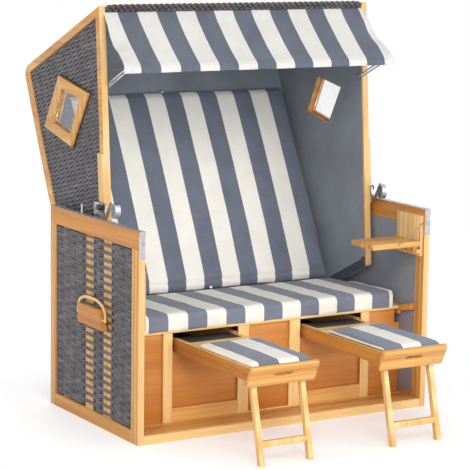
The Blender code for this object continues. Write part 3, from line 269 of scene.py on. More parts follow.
@dataclass(frozen=True)
class Strand(Finish):
    """Dull plastic strand: grey-brown, each length a little different, with a faint rib."""

    name: str = "wicker_strand"
    colour: Colour = (0.150, 0.141, 0.149)
    slot: str = "wicker"

    def write(self, graph: Graph) -> None:
        """Write strand nodes.

        Args:
            graph: Writer of the material's tree.
        """
        place = graph.place()
        drawn = graph.add("ShaderNodeMapping", {"Vector": place, "Scale": (9.0, 9.0, 130.0)})
        streak = graph.noise(drawn.outputs[0], 1.0, 3.0, 0.6)
        cloud = graph.noise(place, 23.0, 2.0)
        tone = graph.math("MULTIPLY_ADD", streak, 0.6, graph.math("MULTIPLY", cloud, 0.4))
        low = tuple(value * 0.50 for value in self.colour)
        high = tuple(value * 1.95 for value in self.colour)
        colour = graph.ramp(tone, ((0.30, low), (0.52, self.colour), (0.74, high)))
        fine = graph.noise(place, 900.0, 2.0)
        rough = graph.math("MULTIPLY_ADD", streak, 0.25, 0.42)
        graph.surface(colour, fine, 0.00015, Roughness=rough, Specular_IOR_Level=0.45)


class Cloth(Finish):
    """Shared parts of the woven cloths."""

    @staticmethod
    def weave(graph: Graph, place: bpy.types.NodeSocket, pitch: float = 0.0011) -> bpy.types.NodeSocket:
        """Return the height of a plain weave, with soft creases under it.

        Args:
            graph: Writer of the material's tree.
            place: Socket with the place to read.
            pitch: Distance between threads.

        Returns:
            The height's socket.
        """
        split = graph.add("ShaderNodeSeparateXYZ", {0: place}).outputs
        turns = math.tau / pitch
        warp = graph.math("SINE", graph.math("MULTIPLY", split[0], turns))
        weft = graph.math("SINE", graph.math("MULTIPLY", graph.math("ADD", split[1], split[2]), turns))
        threads = graph.math("MULTIPLY_ADD", warp, 0.10, graph.math("MULTIPLY", weft, 0.10))
        slub = graph.noise(place, 240.0, 3.0)
        return graph.math("MULTIPLY_ADD", slub, 0.4, threads)


@dataclass(frozen=True)
class PlainCloth(Cloth):
    """Plain blue-grey cloth over the inner panels."""

    name: str = "lining_weave"
    colour: Colour = (0.228, 0.252, 0.294)
    slot: str = "lining_cloth"

    def write(self, graph: Graph) -> None:
        """Write cloth nodes.

        Args:
            graph: Writer of the material's tree.
        """
        place = graph.place()
        cloud = graph.noise(place, 5.0, 3.0)
        thread = graph.noise(place, 310.0, 2.0)
        tone = graph.math("MULTIPLY_ADD", cloud, 0.6, graph.math("MULTIPLY", thread, 0.4))
        low = tuple(value * 0.74 for value in self.colour)
        high = tuple(value * 1.3 for value in self.colour)
        colour = graph.ramp(tone, ((0.3, low), (0.7, high)))
        graph.surface(colour, self.weave(graph, place), 0.0004, Roughness=0.88, Sheen_Weight=0.25,
                      Sheen_Roughness=0.5)


@dataclass(frozen=True)
class StripedCloth(Cloth):
    """Cream cloth with blue-grey block stripes across X."""

    name: str
    start: float
    pitch: float = 0.166
    share: float = 0.5
    skew: float = 0.0
    cream: Colour = (0.90, 0.87, 0.79)
    blue: Colour = (0.178, 0.200, 0.256)
    edge: float = 0.006
    slot: str = "striped_cloth"

    def write(self, graph: Graph) -> None:
        """Write striped cloth nodes.

        Args:
            graph: Writer of the material's tree.
        """
        place = graph.place()
        split = graph.add("ShaderNodeSeparateXYZ", {0: place}).outputs
        ragged = graph.noise(place, 160.0, 2.0)
        along = graph.math("MULTIPLY_ADD", split[2], self.skew, split[0])
        along = graph.math("MULTIPLY_ADD", ragged, 0.0012, along)
        turn = graph.math("FRACT", graph.math("MULTIPLY", graph.math("SUBTRACT", along, self.start),
                                              1.0 / self.pitch))
        rise = graph.add("ShaderNodeMapRange", {0: turn, 1: 0.0, 2: self.edge, 3: 0.0, 4: 1.0}).outputs[0]
        fall = graph.add("ShaderNodeMapRange", {0: turn, 1: self.share, 2: self.share + self.edge, 3: 1.0,
                                                4: 0.0}).outputs[0]
        dark = graph.math("MULTIPLY", rise, fall)
        cloud = graph.noise(place, 9.0, 3.0)
        thread = graph.noise(place, 330.0, 2.0)
        tone = graph.math("MULTIPLY_ADD", cloud, 0.5, graph.math("MULTIPLY", thread, 0.5))
        pale = graph.ramp(tone, ((0.3, tuple(value * 0.90 for value in self.cream)),
                                 (0.65, tuple(min(value * 1.05, 1.0) for value in self.cream))))
        deep = graph.ramp(tone, ((0.3, tuple(value * 0.76 for value in self.blue)),
                                 (0.7, tuple(value * 1.28 for value in self.blue))))
        graph.surface(graph.mix(dark, pale, deep), self.weave(graph, place), 0.0004, Roughness=0.9,
                      Sheen_Weight=0.2, Sheen_Roughness=0.5)


@dataclass(frozen=True)
class Metal(Finish):
    """Plated steel with faint brushing and dull patches."""

    name: str
    colour: Colour = (0.62, 0.63, 0.66)
    roughness: float = 0.26
    slot: str = "steel"

    def write(self, graph: Graph) -> None:
        """Write metal nodes.

        Args:
            graph: Writer of the material's tree.
        """
        place = graph.place()
        drawn = graph.add("ShaderNodeMapping", {"Vector": place, "Scale": (60.0, 700.0, 700.0)})
        brushed = graph.noise(drawn.outputs[0], 1.0, 3.0)
        patch = graph.noise(place, 45.0, 3.0)
        low = tuple(value * 0.7 for value in self.colour)
        colour = graph.ramp(patch, ((0.35, low), (0.6, self.colour)))
        rough = graph.math("MULTIPLY_ADD", patch, 0.2, self.roughness)
        graph.surface(colour, brushed, 0.00008, Roughness=rough, Metallic=1.0)


@dataclass(frozen=True)
class Moulding(Finish):
    """Dark moulded plastic with a fine grain; the same finish also serves as painted shade."""

    name: str = "moulding_and_painted_shade"
    colour: Colour = (0.02, 0.021, 0.024)
    slot: str = "wicker"

    def write(self, graph: Graph) -> None:
        """Write moulded plastic nodes.

        Args:
            graph: Writer of the material's tree.
        """
        place = graph.place()
        grain = graph.noise(place, 1400.0, 2.0)
        cloud = graph.noise(place, 60.0, 2.0)
        high = tuple(value * 2.0 for value in self.colour)
        colour = graph.ramp(cloud, ((0.35, self.colour), (0.7, high)))
        rough = graph.math("MULTIPLY_ADD", cloud, 0.2, 0.35)
        graph.surface(colour, grain, 0.0001, Roughness=rough)


@dataclass(frozen=True)
class ClearPane(Finish):
    """Clear pane with a trace of haze."""

    name: str = "clear_pane"
    slot: str = "pane"

    def write(self, graph: Graph) -> None:
        """Write clear pane nodes.

        Args:
            graph: Writer of the material's tree.
        """
        place = graph.place()
        haze = graph.noise(place, 14.0, 3.0)
        rough = graph.math("MULTIPLY_ADD", haze, 0.05, 0.0)
        graph.surface((0.97, 0.985, 0.99), None, 0.0, Roughness=rough, IOR=1.45, Transmission_Weight=1.0)


class Wood(Enum):
    """Woods of the chair: light and dark colour, material slot and fineness of the streaks."""

    HONEY = ((0.82, 0.47, 0.150), (0.54, 0.225, 0.043), "honey_wood", 46.0)
    DEEP = ((0.68, 0.30, 0.062), (0.43, 0.138, 0.019), "honey_wood", 46.0)
    PALE = ((0.93, 0.65, 0.29), (0.74, 0.40, 0.12), "pale_wood", 46.0)
    BLOND = ((0.86, 0.585, 0.28), (0.68, 0.385, 0.120), "honey_wood", 46.0)
    PLYWOOD = ((0.68, 0.285, 0.062), (0.49, 0.165, 0.026), "red_panel", 20.0)

    def __call__(self, grain: Grain, shift: float = 0.0) -> Varnish:
        """Varnish this wood with its grain one way."""
        light, dark, slot, streak = self.value
        name = f"{self.name.lower()}_{grain.name.lower()}_{round(shift * 10)}"
        return Varnish(name, light, dark, grain, slot, shift, streak)


STEEL = Metal("plated_steel")
CHAIN = Metal("chain_steel", (0.36, 0.33, 0.31), 0.42)
STRAP = Metal("lock_strap", (0.34, 0.25, 0.17), 0.5)
DULL_STEEL = Metal("dull_steel", (0.50, 0.50, 0.51), 0.38)
STRAND = Strand()
DARK_STRAND = Strand("dark_strand", (0.085, 0.070, 0.072))
LINING = PlainCloth()
# Dark copy of the lining cloth: painted shade along the hood's lower edge and on its lower rail.
PAINTED_SHADE_LINING = PlainCloth("painted_shade_lining_weave", (0.030, 0.040, 0.070))
# BLACK is the knob's moulded plastic and also painted shade: the sheets behind the weave, the rim round each window
# and the rear of the footrest decks.
BLACK = Moulding()


@dataclass(frozen=True)
class Member:
    """A board of a frame: faces in its box take its finish."""

    finish: Finish
    low: Point = (-FAR, -FAR, -FAR)
    high: Point = (FAR, FAR, FAR)
    test: Callable[[Vector], bool] | None = None

    def holds(self, place: Vector) -> bool:
        """Say whether a place is in this board."""
        if self.test is not None:
            return self.test(place)
        return all(low <= value <= high for low, value, high in zip(self.low, place, self.high))


def add_piece(name: str, mesh: bpy.types.Mesh, body: str, finish: Finish | None = None,
              replaces: Sequence[str] = ()) -> bpy.types.Object:
    """Link a mesh as a finished piece that rides on a body.

    Args:
        name: The piece's name.
        mesh: Its mesh, in its place.
        body: Body that carries it, or an empty name for a piece that rides on no body.
        finish: Finish of all its faces, or None where the mesh has its own.
        replaces: CAD nodes that it stands for.

    Returns:
        The new object.
    """
    item = bpy.data.objects.new(name, mesh)
    bpy.context.scene.collection.objects.link(item)
    if finish is not None:
        mesh.materials.clear()
        mesh.materials.append(finish.material())
    if body:
        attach(item, body)
    if replaces:
        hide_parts(*replaces)
    LOG.info("piece %s on %s: %d faces", name, body or "two bodies", len(mesh.polygons))
    return item


def shade_smooth(mesh: bpy.types.Mesh, angle: float = 180.0) -> bpy.types.Mesh:
    """Shade a mesh smooth and keep edges sharper than an angle.

    Args:
        mesh: The mesh.
        angle: Largest smooth angle in degrees.

    Returns:
        The same mesh.
    """
    for face in mesh.polygons:
        face.use_smooth = True
    if angle < 180.0:
        mesh.set_sharp_from_angle(angle=math.radians(angle))
    return mesh


def evaluated(item: bpy.types.Object) -> bpy.types.Mesh:
    """Return an object's mesh with its modifiers applied, and remove the object.

    Args:
        item: Object with live modifiers.

    Returns:
        The plain mesh.
    """
    graph = bpy.context.evaluated_depsgraph_get()
    mesh = bpy.data.meshes.new_from_object(item.evaluated_get(graph))
    bpy.data.objects.remove(item, do_unlink=True)
    return mesh


def temporary(name: str, data: bpy.types.Mesh | bpy.types.Curve) -> bpy.types.Object:
    """Link a mesh or curve as a working object."""
    item = bpy.data.objects.new(name, data)
    bpy.context.scene.collection.objects.link(item)
    return item


def mesh_of(name: str, places: Sequence[Sequence[float]], faces: Sequence[Sequence[int]],
            edges: Sequence[Sequence[int]] = ()) -> bpy.types.Mesh:
    """Make a mesh of points, edges and faces.

    Args:
        name: Name of the mesh.
        places: The points.
        faces: Point numbers of each face.
        edges: Point numbers of each loose edge.

    Returns:
        The mesh.
    """
    mesh = bpy.data.meshes.new(name)
    mesh.from_pydata([tuple(place) for place in places], list(edges), list(faces))
    mesh.update()
    return mesh


def slab(name: str, outline: Sequence[Flat], start: float, stop: float, axis: int = 0,
         holes: Sequence[Sequence[Flat]] = ()) -> bpy.types.Mesh:
    """Return a flat plate with holes, drawn across X or Y and given a thickness.

    Args:
        name: Name of the mesh.
        outline: Its outline in the two other axes.
        start: Where it starts along the axis.
        stop: Where it stops along the axis.
        axis: 0 for a plate that faces X, 1 for one that faces Y.
        holes: Outlines cut out of it.

    Returns:
        The mesh.
    """
    data = bpy.data.curves.new(name, "CURVE")
    data.dimensions = "2D"
    data.fill_mode = "BOTH"
    data.extrude = abs(stop - start) / 2
    for loop in (outline, *holes):
        spline = data.splines.new("POLY")
        spline.points.add(len(loop) - 1)
        for point, place in zip(spline.points, loop):
            point.co = (*place, 0.0, 1.0)
        spline.use_cyclic_u = True
    mesh = evaluated(temporary(name + "_outline", data))
    middle = (start + stop) / 2
    for vertex in mesh.vertices:
        first, second, third = vertex.co
        spot = (middle + third, first, second) if axis == 0 else (first, middle + third, second)
        vertex.co = spot
    if axis == 1:
        mesh.flip_normals()
    return mesh


def on_side(side: float, near: float, far: float) -> Flat:
    """Lay two distances from the middle plane to one side."""
    return tuple(sorted((side * near, side * far)))


def widened(points: Sequence[Flat], amount: float) -> list[Flat]:
    """Return an outline with its sides moved out by about an amount."""
    middle = sum((Vector(point) for point in points), Vector((0.0, 0.0))) / len(points)
    return [tuple(Vector(point) + (Vector(point) - middle).normalized() * amount) for point in points]


@dataclass
class Joinery:
    """Wooden solids of the frame, remade with eased edges, joint lines and a grain for each board."""

    ease: float = 0.0018
    segments: int = 2
    weld: float = 0.00002
    flat_angle: float = 0.6
    cut_reach: float = 0.00005
    bevel_angle: float = 40.0
    smooth_angle: float = 50.0

    def remake(self, node: str, body: str, members: Sequence[Member],
               cuts: Sequence[tuple[Point, Point]] = (), ease: float | None = None,
               slot: str = "", reshape: Callable[[Vector], Vector] | None = None,
               solid: bpy.types.Mesh | None = None) -> bpy.types.Object:
        """Remake a CAD node as a dressed piece.

        Args:
            node: Name of the node.
            body: Body that carries it.
            members: Boards, the first that holds a face gives its finish.
            cuts: Joint lines as planes, each a place and a direction.
            ease: Radius of the eased edges, or None for the usual one.
            slot: Material slot of the piece; not used.
            reshape: Moves each corner of the CAD solid, or None.
            solid: A mesh that takes the place of the CAD solid, or None.

        Returns:
            The piece.
        """
        work = bmesh.new()
        work.from_mesh(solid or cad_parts[node].data)
        if solid is None:
            work.transform(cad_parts[node].matrix_world)
        for vertex in work.verts if reshape else ():
            vertex.co = reshape(vertex.co)
        bmesh.ops.remove_doubles(work, verts=work.verts, dist=self.weld)
        bmesh.ops.dissolve_limit(work, angle_limit=math.radians(self.flat_angle), verts=work.verts,
                                 edges=work.edges)
        for place, way in cuts:
            parts = work.verts[:] + work.edges[:] + work.faces[:]
            bmesh.ops.bisect_plane(work, geom=parts, plane_co=place, plane_no=way, dist=self.cut_reach)
        mesh = bpy.data.meshes.new(node + "_wood")
        finishes: list[Finish] = []
        for member in members:
            if member.finish not in finishes:
                finishes.append(member.finish)
        work.faces.ensure_lookup_table()
        for face in work.faces:
            middle = face.calc_center_median()
            chosen = next((member for member in members if member.holds(middle)), members[-1])
            face.material_index = finishes.index(chosen.finish)
        work.to_mesh(mesh)
        work.free()
        for finish in finishes:
            mesh.materials.append(finish.material())
        piece = add_piece(node + "_dressed", self.eased(mesh, ease), body, None, (node,))
        return piece

    def eased(self, mesh: bpy.types.Mesh, ease: float | None = None) -> bpy.types.Mesh:
        """Return a board with its edges eased.

        Args:
            mesh: The board.
            ease: Radius of the eased edges, or None for the usual one.

        Returns:
            The finished mesh.
        """
        item = temporary(mesh.name + "_work", mesh)
        bevel = item.modifiers.new("eased edges", "BEVEL")
        bevel.width = self.ease if ease is None else ease
        bevel.segments = self.segments
        bevel.limit_method = "ANGLE"
        bevel.angle_limit = math.radians(self.bevel_angle)
        bevel.use_clamp_overlap = True
        bevel.harden_normals = False
        return shade_smooth(evaluated(item), self.smooth_angle)


@dataclass
class Studio:
    """Camera, lamps, floor and backdrop."""

    place: Point = (-3.96633, -6.55918, 1.94274)
    yaw: float = 0.541
    pitch: float = 0.164
    roll: float = 0.015
    focal: float = 2004.2
    frame_pixels: float = 470.0
    sensor: float = 0.036
    shadow_half: Flat = (0.66, 0.62)
    shadow_front: float = 0.24
    shadow_fade: Flat = (0.04, 0.55)
    floor_half: float = 14.0

    def camera(self) -> None:
        """Place the camera of the photograph."""
        ahead = Vector((math.sin(self.yaw) * math.cos(self.pitch), math.cos(self.yaw) * math.cos(self.pitch),
                        -math.sin(self.pitch)))
        right = Vector((math.cos(self.yaw), -math.sin(self.yaw), 0.0))
        above = right.cross(ahead)
        across = right * math.cos(self.roll) + above * math.sin(self.roll)
        over = above * math.cos(self.roll) - right * math.sin(self.roll)
        data = bpy.data.cameras.new("view")
        data.sensor_fit = "HORIZONTAL"
        data.sensor_width = self.sensor * 1000
        data.lens = self.focal / self.frame_pixels * self.sensor * 1000
        data.clip_end = 60.0
        item = bpy.data.objects.new("view", data)
        turn = Matrix((across, over, -ahead)).transposed().to_4x4()
        item.matrix_world = Matrix.Translation(Vector(self.place)) @ turn
        bpy.context.scene.collection.objects.link(item)
        bpy.context.scene.camera = item

    def lamp(self, name: str, place: Point, target: Point, size: float, power: float,
             colour: Colour = (1.0, 1.0, 1.0)) -> None:
        """Add a square soft lamp.

        Args:
            name: The lamp's name.
            place: Where it stands.
            target: What it faces.
            size: Its width.
            power: Its power in watts.
            colour: Its colour.
        """
        data = bpy.data.lights.new(name, "AREA")
        data.energy = power
        data.size = size
        data.color = colour
        item = bpy.data.objects.new(name, data)
        item.location = place
        item.rotation_euler = (Vector(place) - Vector(target)).to_track_quat("Z", "Y").to_euler()
        bpy.context.scene.collection.objects.link(item)

    @staticmethod
    def shown(graph: Graph, path: bpy.types.bpy_prop_collection) -> bpy.types.NodeSocket:
        """Return 1 for the rays that show the backdrop itself: camera, glass and gloss."""
        found = graph.math("MAXIMUM", path["Is Camera Ray"], path["Is Transmission Ray"])
        return graph.math("MAXIMUM", found, path["Is Glossy Ray"])

    def world(self) -> None:
        """Light the scene evenly, with a white background for the camera, gloss and glass."""
        world = bpy.data.worlds.new("studio")
        world.use_nodes = True
        world.node_tree.nodes.clear()
        graph = Graph(world.node_tree)
        path = graph.add("ShaderNodeLightPath").outputs
        shown = self.shown(graph, path)
        soft = graph.add("ShaderNodeBackground", {"Color": (0.95, 0.97, 1.0, 1.0), "Strength": 0.62})
        white = graph.add("ShaderNodeBackground", {"Color": (1.0, 1.0, 1.0, 1.0), "Strength": 1.0})
        both = graph.add("ShaderNodeMixShader", {0: shown, 1: soft.outputs[0], 2: white.outputs[0]})
        graph.add("ShaderNodeOutputWorld", {"Surface": both.outputs[0]})
        bpy.context.scene.world = world

    def floor(self) -> None:
        """Lay the pale floor: it shows the shadow near the chair and turns to plain white farther away."""
        graph, made = Graph.of_material("studio_floor")
        shader = graph.add("ShaderNodeBsdfPrincipled", {"Base Color": (0.90, 0.90, 0.90, 1.0), "Roughness": 0.9})
        glow = graph.add("ShaderNodeEmission", {"Color": (1.0, 1.0, 1.0, 1.0), "Strength": 0.22})
        none = graph.add("ShaderNodeEmission", {"Color": (0.0, 0.0, 0.0, 1.0), "Strength": 0.0})
        path = graph.add("ShaderNodeLightPath").outputs
        shown = self.shown(graph, path)
        lifted = graph.add("ShaderNodeMixShader", {0: path["Is Camera Ray"], 1: none.outputs[0],
                                                   2: glow.outputs[0]})
        near = graph.add("ShaderNodeAddShader", {0: shader.outputs[0], 1: lifted.outputs[0]})
        split = graph.add("ShaderNodeSeparateXYZ", {0: graph.place()}).outputs
        beside = graph.math("MAXIMUM", graph.math("SUBTRACT", graph.math("ABSOLUTE", split[0]),
                                                  self.shadow_half[0]), 0.0)
        along = graph.math("ABSOLUTE", graph.math("ADD", split[1], self.shadow_front))
        along = graph.math("MAXIMUM", graph.math("SUBTRACT", along, self.shadow_half[1]), 0.0)
        squares = graph.math("ADD", graph.math("POWER", beside, 2.0), graph.math("POWER", along, 2.0))
        away = graph.math("SQRT", squares)
        near_edge, far_edge = self.shadow_fade
        fade = graph.add("ShaderNodeMapRange", {0: away, 1: near_edge, 2: far_edge, 3: 0.0, 4: 1.0},
                         interpolation_type="SMOOTHSTEP").outputs[0]
        white = graph.add("ShaderNodeEmission", {"Color": (1.0, 1.0, 1.0, 1.0), "Strength": 1.0})
        total = graph.add("ShaderNodeMixShader", {0: graph.math("MULTIPLY", fade, shown), 1: near.outputs[0],
                                                  2: white.outputs[0]})
        graph.add("ShaderNodeOutputMaterial", {"Surface": total.outputs[0]})
        half = self.floor_half
        mesh = mesh_of("studio_floor", [(-half, -half, 0.0), (half, -half, 0.0), (half, half, 0.0),
                                        (-half, half, 0.0)], [(0, 1, 2, 3)])
        mesh.materials.append(made)
        item = bpy.data.objects.new("studio_floor", mesh)
        bpy.context.scene.collection.objects.link(item)

    def build(self) -> None:
        """Build the studio."""
        self.camera()
        self.world()
        self.floor()
        aim = (0.0, 0.0, 0.7)
        self.lamp("key", (-2.2, -4.6, 3.6), aim, 2.6, 108.0, (1.0, 0.985, 0.96))
        self.lamp("fill", (3.4, -4.4, 2.0), aim, 3.0, 66.0)
        self.lamp("inside", (-0.4, -5.2, 1.3), (0.0, 0.2, 0.9), 2.2, 66.0)
        self.lamp("left", (-4.6, 0.2, 1.8), aim, 2.4, 30.0)
        self.lamp("rear", (1.5, 4.6, 3.4), aim, 3.0, 60.0)
        bpy.context.scene.view_settings.view_transform = "Standard"


class StrandTree:
    """Geometry Nodes tree that sweeps flat strands along lines and sets them over and under."""

    def __init__(self) -> None:
        """Write the tree with its named inputs."""
        tree = bpy.data.node_groups.new("strand_sweep", "GeometryNodeTree")
        self.tree = tree
        self.sockets: dict[str, str] = {}
        link = tree.interface.new_socket
        link("Geometry", in_out="INPUT", socket_type="NodeSocketGeometry")
        for name, kind in (("Strand Width", "NodeSocketFloat"), ("Strand Thickness", "NodeSocketFloat"),
                           ("Finish", "NodeSocketMaterial")):
            self.sockets[name] = link(name, in_out="INPUT", socket_type=kind).identifier
        link("Geometry", in_out="OUTPUT", socket_type="NodeSocketGeometry")
        graph = Graph(tree)
        entry = graph.add("NodeGroupInput").outputs
        deep = graph.add("GeometryNodeInputNamedAttribute", {"Name": "set_out"}, data_type="FLOAT_VECTOR")
        moved = graph.add("GeometryNodeSetPosition", {"Geometry": entry["Geometry"],
                                                      "Offset": deep.outputs["Attribute"]})
        lines = graph.add("GeometryNodeMeshToCurve", {"Mesh": moved.outputs[0]})
        level = graph.add("GeometryNodeSetCurveNormal", {"Curve": lines.outputs[0]}, mode="FREE")
        normal = graph.add("GeometryNodeInputNamedAttribute", {"Name": "face_out"}, data_type="FLOAT_VECTOR")
        tree.links.new(normal.outputs["Attribute"], level.inputs["Normal"])
        ring = graph.add("GeometryNodeCurvePrimitiveCircle", {"Resolution": 6, "Radius": 0.5})
        size = graph.add("ShaderNodeCombineXYZ", {"X": entry["Strand Thickness"], "Y": entry["Strand Width"],
                                                  "Z": 1.0})
        turned = graph.add("GeometryNodeTransform", {"Geometry": ring.outputs[0], "Scale": size.outputs[0]})
        swept = graph.add("GeometryNodeCurveToMesh", {"Curve": level.outputs[0],
                                                      "Profile Curve": turned.outputs[0], "Fill Caps": True})
        smooth = graph.add("GeometryNodeSetShadeSmooth", {"Geometry": swept.outputs[0], "Shade Smooth": True})
        whole = graph.add("GeometryNodeRealizeInstances", {"Geometry": smooth.outputs[0]})
        done = graph.add("GeometryNodeSetMaterial", {"Geometry": whole.outputs[0], "Material": entry["Finish"]})
        graph.add("NodeGroupOutput", {"Geometry": done.outputs[0]})

    def sweep(self, name: str, mesh: bpy.types.Mesh, width: float, thickness: float,
              finish: Finish) -> bpy.types.Mesh:
        """Sweep strands along a mesh of lines.

        Args:
            name: Name of the result.
            mesh: Lines with the attributes set_out and face_out.
            width: Width of a strand.
            thickness: Thickness of a strand.
            finish: Finish of the strands.

        Returns:
            The strands' mesh.
        """
        item = temporary(name + "_lines", mesh)
        change = item.modifiers.new("strands", "NODES")
        change.node_group = self.tree
        change[self.sockets["Strand Width"]] = width
        change[self.sockets["Strand Thickness"]] = thickness
        change[self.sockets["Finish"]] = finish.material()
        done = evaluated(item)
        done.name = name
        return done


class LineSet:
    """Lines of points, each with the way it is set out and the way its surface faces."""

    def __init__(self) -> None:
        """Start with no lines."""
        self.places: list[Vector] = []
        self.edges: list[tuple[int, int]] = []
        self.offsets: list[Vector] = []
        self.normals: list[Vector] = []

    def line(self, points: Iterable[tuple[Vector, Vector, Vector]]) -> None:
        """Add a line.

        Args:
            points: Places with their offset and outward direction.
        """
        start = len(self.places)
        for place, offset, normal in points:
            self.places.append(place)
            self.offsets.append(offset)
            self.normals.append(normal)
        self.edges += [(index, index + 1) for index in range(start, len(self.places) - 1)]

    def mesh(self, name: str) -> bpy.types.Mesh:
        """Return the lines as a mesh with its attributes.

        Args:
            name: Name of the mesh.

        Returns:
            The mesh.
        """
        mesh = mesh_of(name, self.places, [], self.edges)
        for label, values in (("set_out", self.offsets), ("face_out", self.normals)):
            layer = mesh.attributes.new(label, "FLOAT_VECTOR", "POINT")
            layer.data.foreach_set("vector", [part for value in values for part in value])
        return mesh


def inside(polygon: Sequence[Flat], place: Flat) -> bool:
    """Say whether a flat place is in a polygon.

    Args:
        polygon: The polygon's corners.
        place: The place.

    Returns:
        Whether it is.
    """
    found = False
    x, y = place
    for (ax, ay), (bx, by) in zip(polygon, [*polygon[1:], polygon[0]]):
        if (ay > y) != (by > y) and x < (bx - ax) * (y - ay) / (by - ay) + ax:
            found = not found
    return found


def spans(polygon: Sequence[Flat], holes: Sequence[Sequence[Flat]], start: Flat, way: Flat,
          length: float) -> list[tuple[float, float]]:
    """Return the stretches of a straight line that lie on a surface.

    Args:
        polygon: Outline of the surface.
        holes: Outlines cut out of it.
        start: Where the line starts.
        way: Unit direction of the line.
        length: Length of the line.

    Returns:
        Distances along the line where each stretch starts and ends.
    """
    marks = []
    for loop in (polygon, *holes):
        for (ax, ay), (bx, by) in zip(loop, [*loop[1:], loop[0]]):
            ex, ey = bx - ax, by - ay
            span = way[0] * ey - way[1] * ex
            if abs(span) < 1e-9:
                continue
            gx, gy = ax - start[0], ay - start[1]
            along = (gx * ey - gy * ex) / span
            share = (gx * way[1] - gy * way[0]) / span
            if 0.0 <= share <= 1.0 and 0.0 < along < length:
                marks.append(along)
    marks.sort()
    found = []
    for near, far in zip(marks, marks[1:]):
        middle = (near + far) / 2
        place = (start[0] + way[0] * middle, start[1] + way[1] * middle)
        if far - near > 0.004 and inside(polygon, place) and not any(inside(hole, place) for hole in holes):
            found.append((near, far))
    return found


@dataclass
class Weaver:
    """Weaves flat strands in pairs over and under upright stakes."""

    tree: StrandTree
    pitch: float = 0.00722
    width: float = 0.0069
    thickness: float = 0.0019
    wave: float = 0.0016
    step: float = 0.011
    end_gap: float = 0.07

    def height(self, along: float, stakes: Sequence[float], parity: int) -> float:
        """Return how far a strand stands over the middle of the skin, from -1 to 1.

        Args:
            along: Place along the strand.
            stakes: Places of the stakes.
            parity: Which of the two sets of strands it belongs to.

        Returns:
            The height.
        """
        near = min(range(len(stakes)), key=lambda index: abs(stakes[index] - along))
        other = near + (1 if along > stakes[near] else -1)
        gap = abs(stakes[other] - stakes[near]) if 0 <= other < len(stakes) else self.end_gap
        share = min(abs(along - stakes[near]) / gap, 1.0)
        sign = 1 if (near + parity) % 2 == 0 else -1
        return sign * math.cos(math.pi * share)


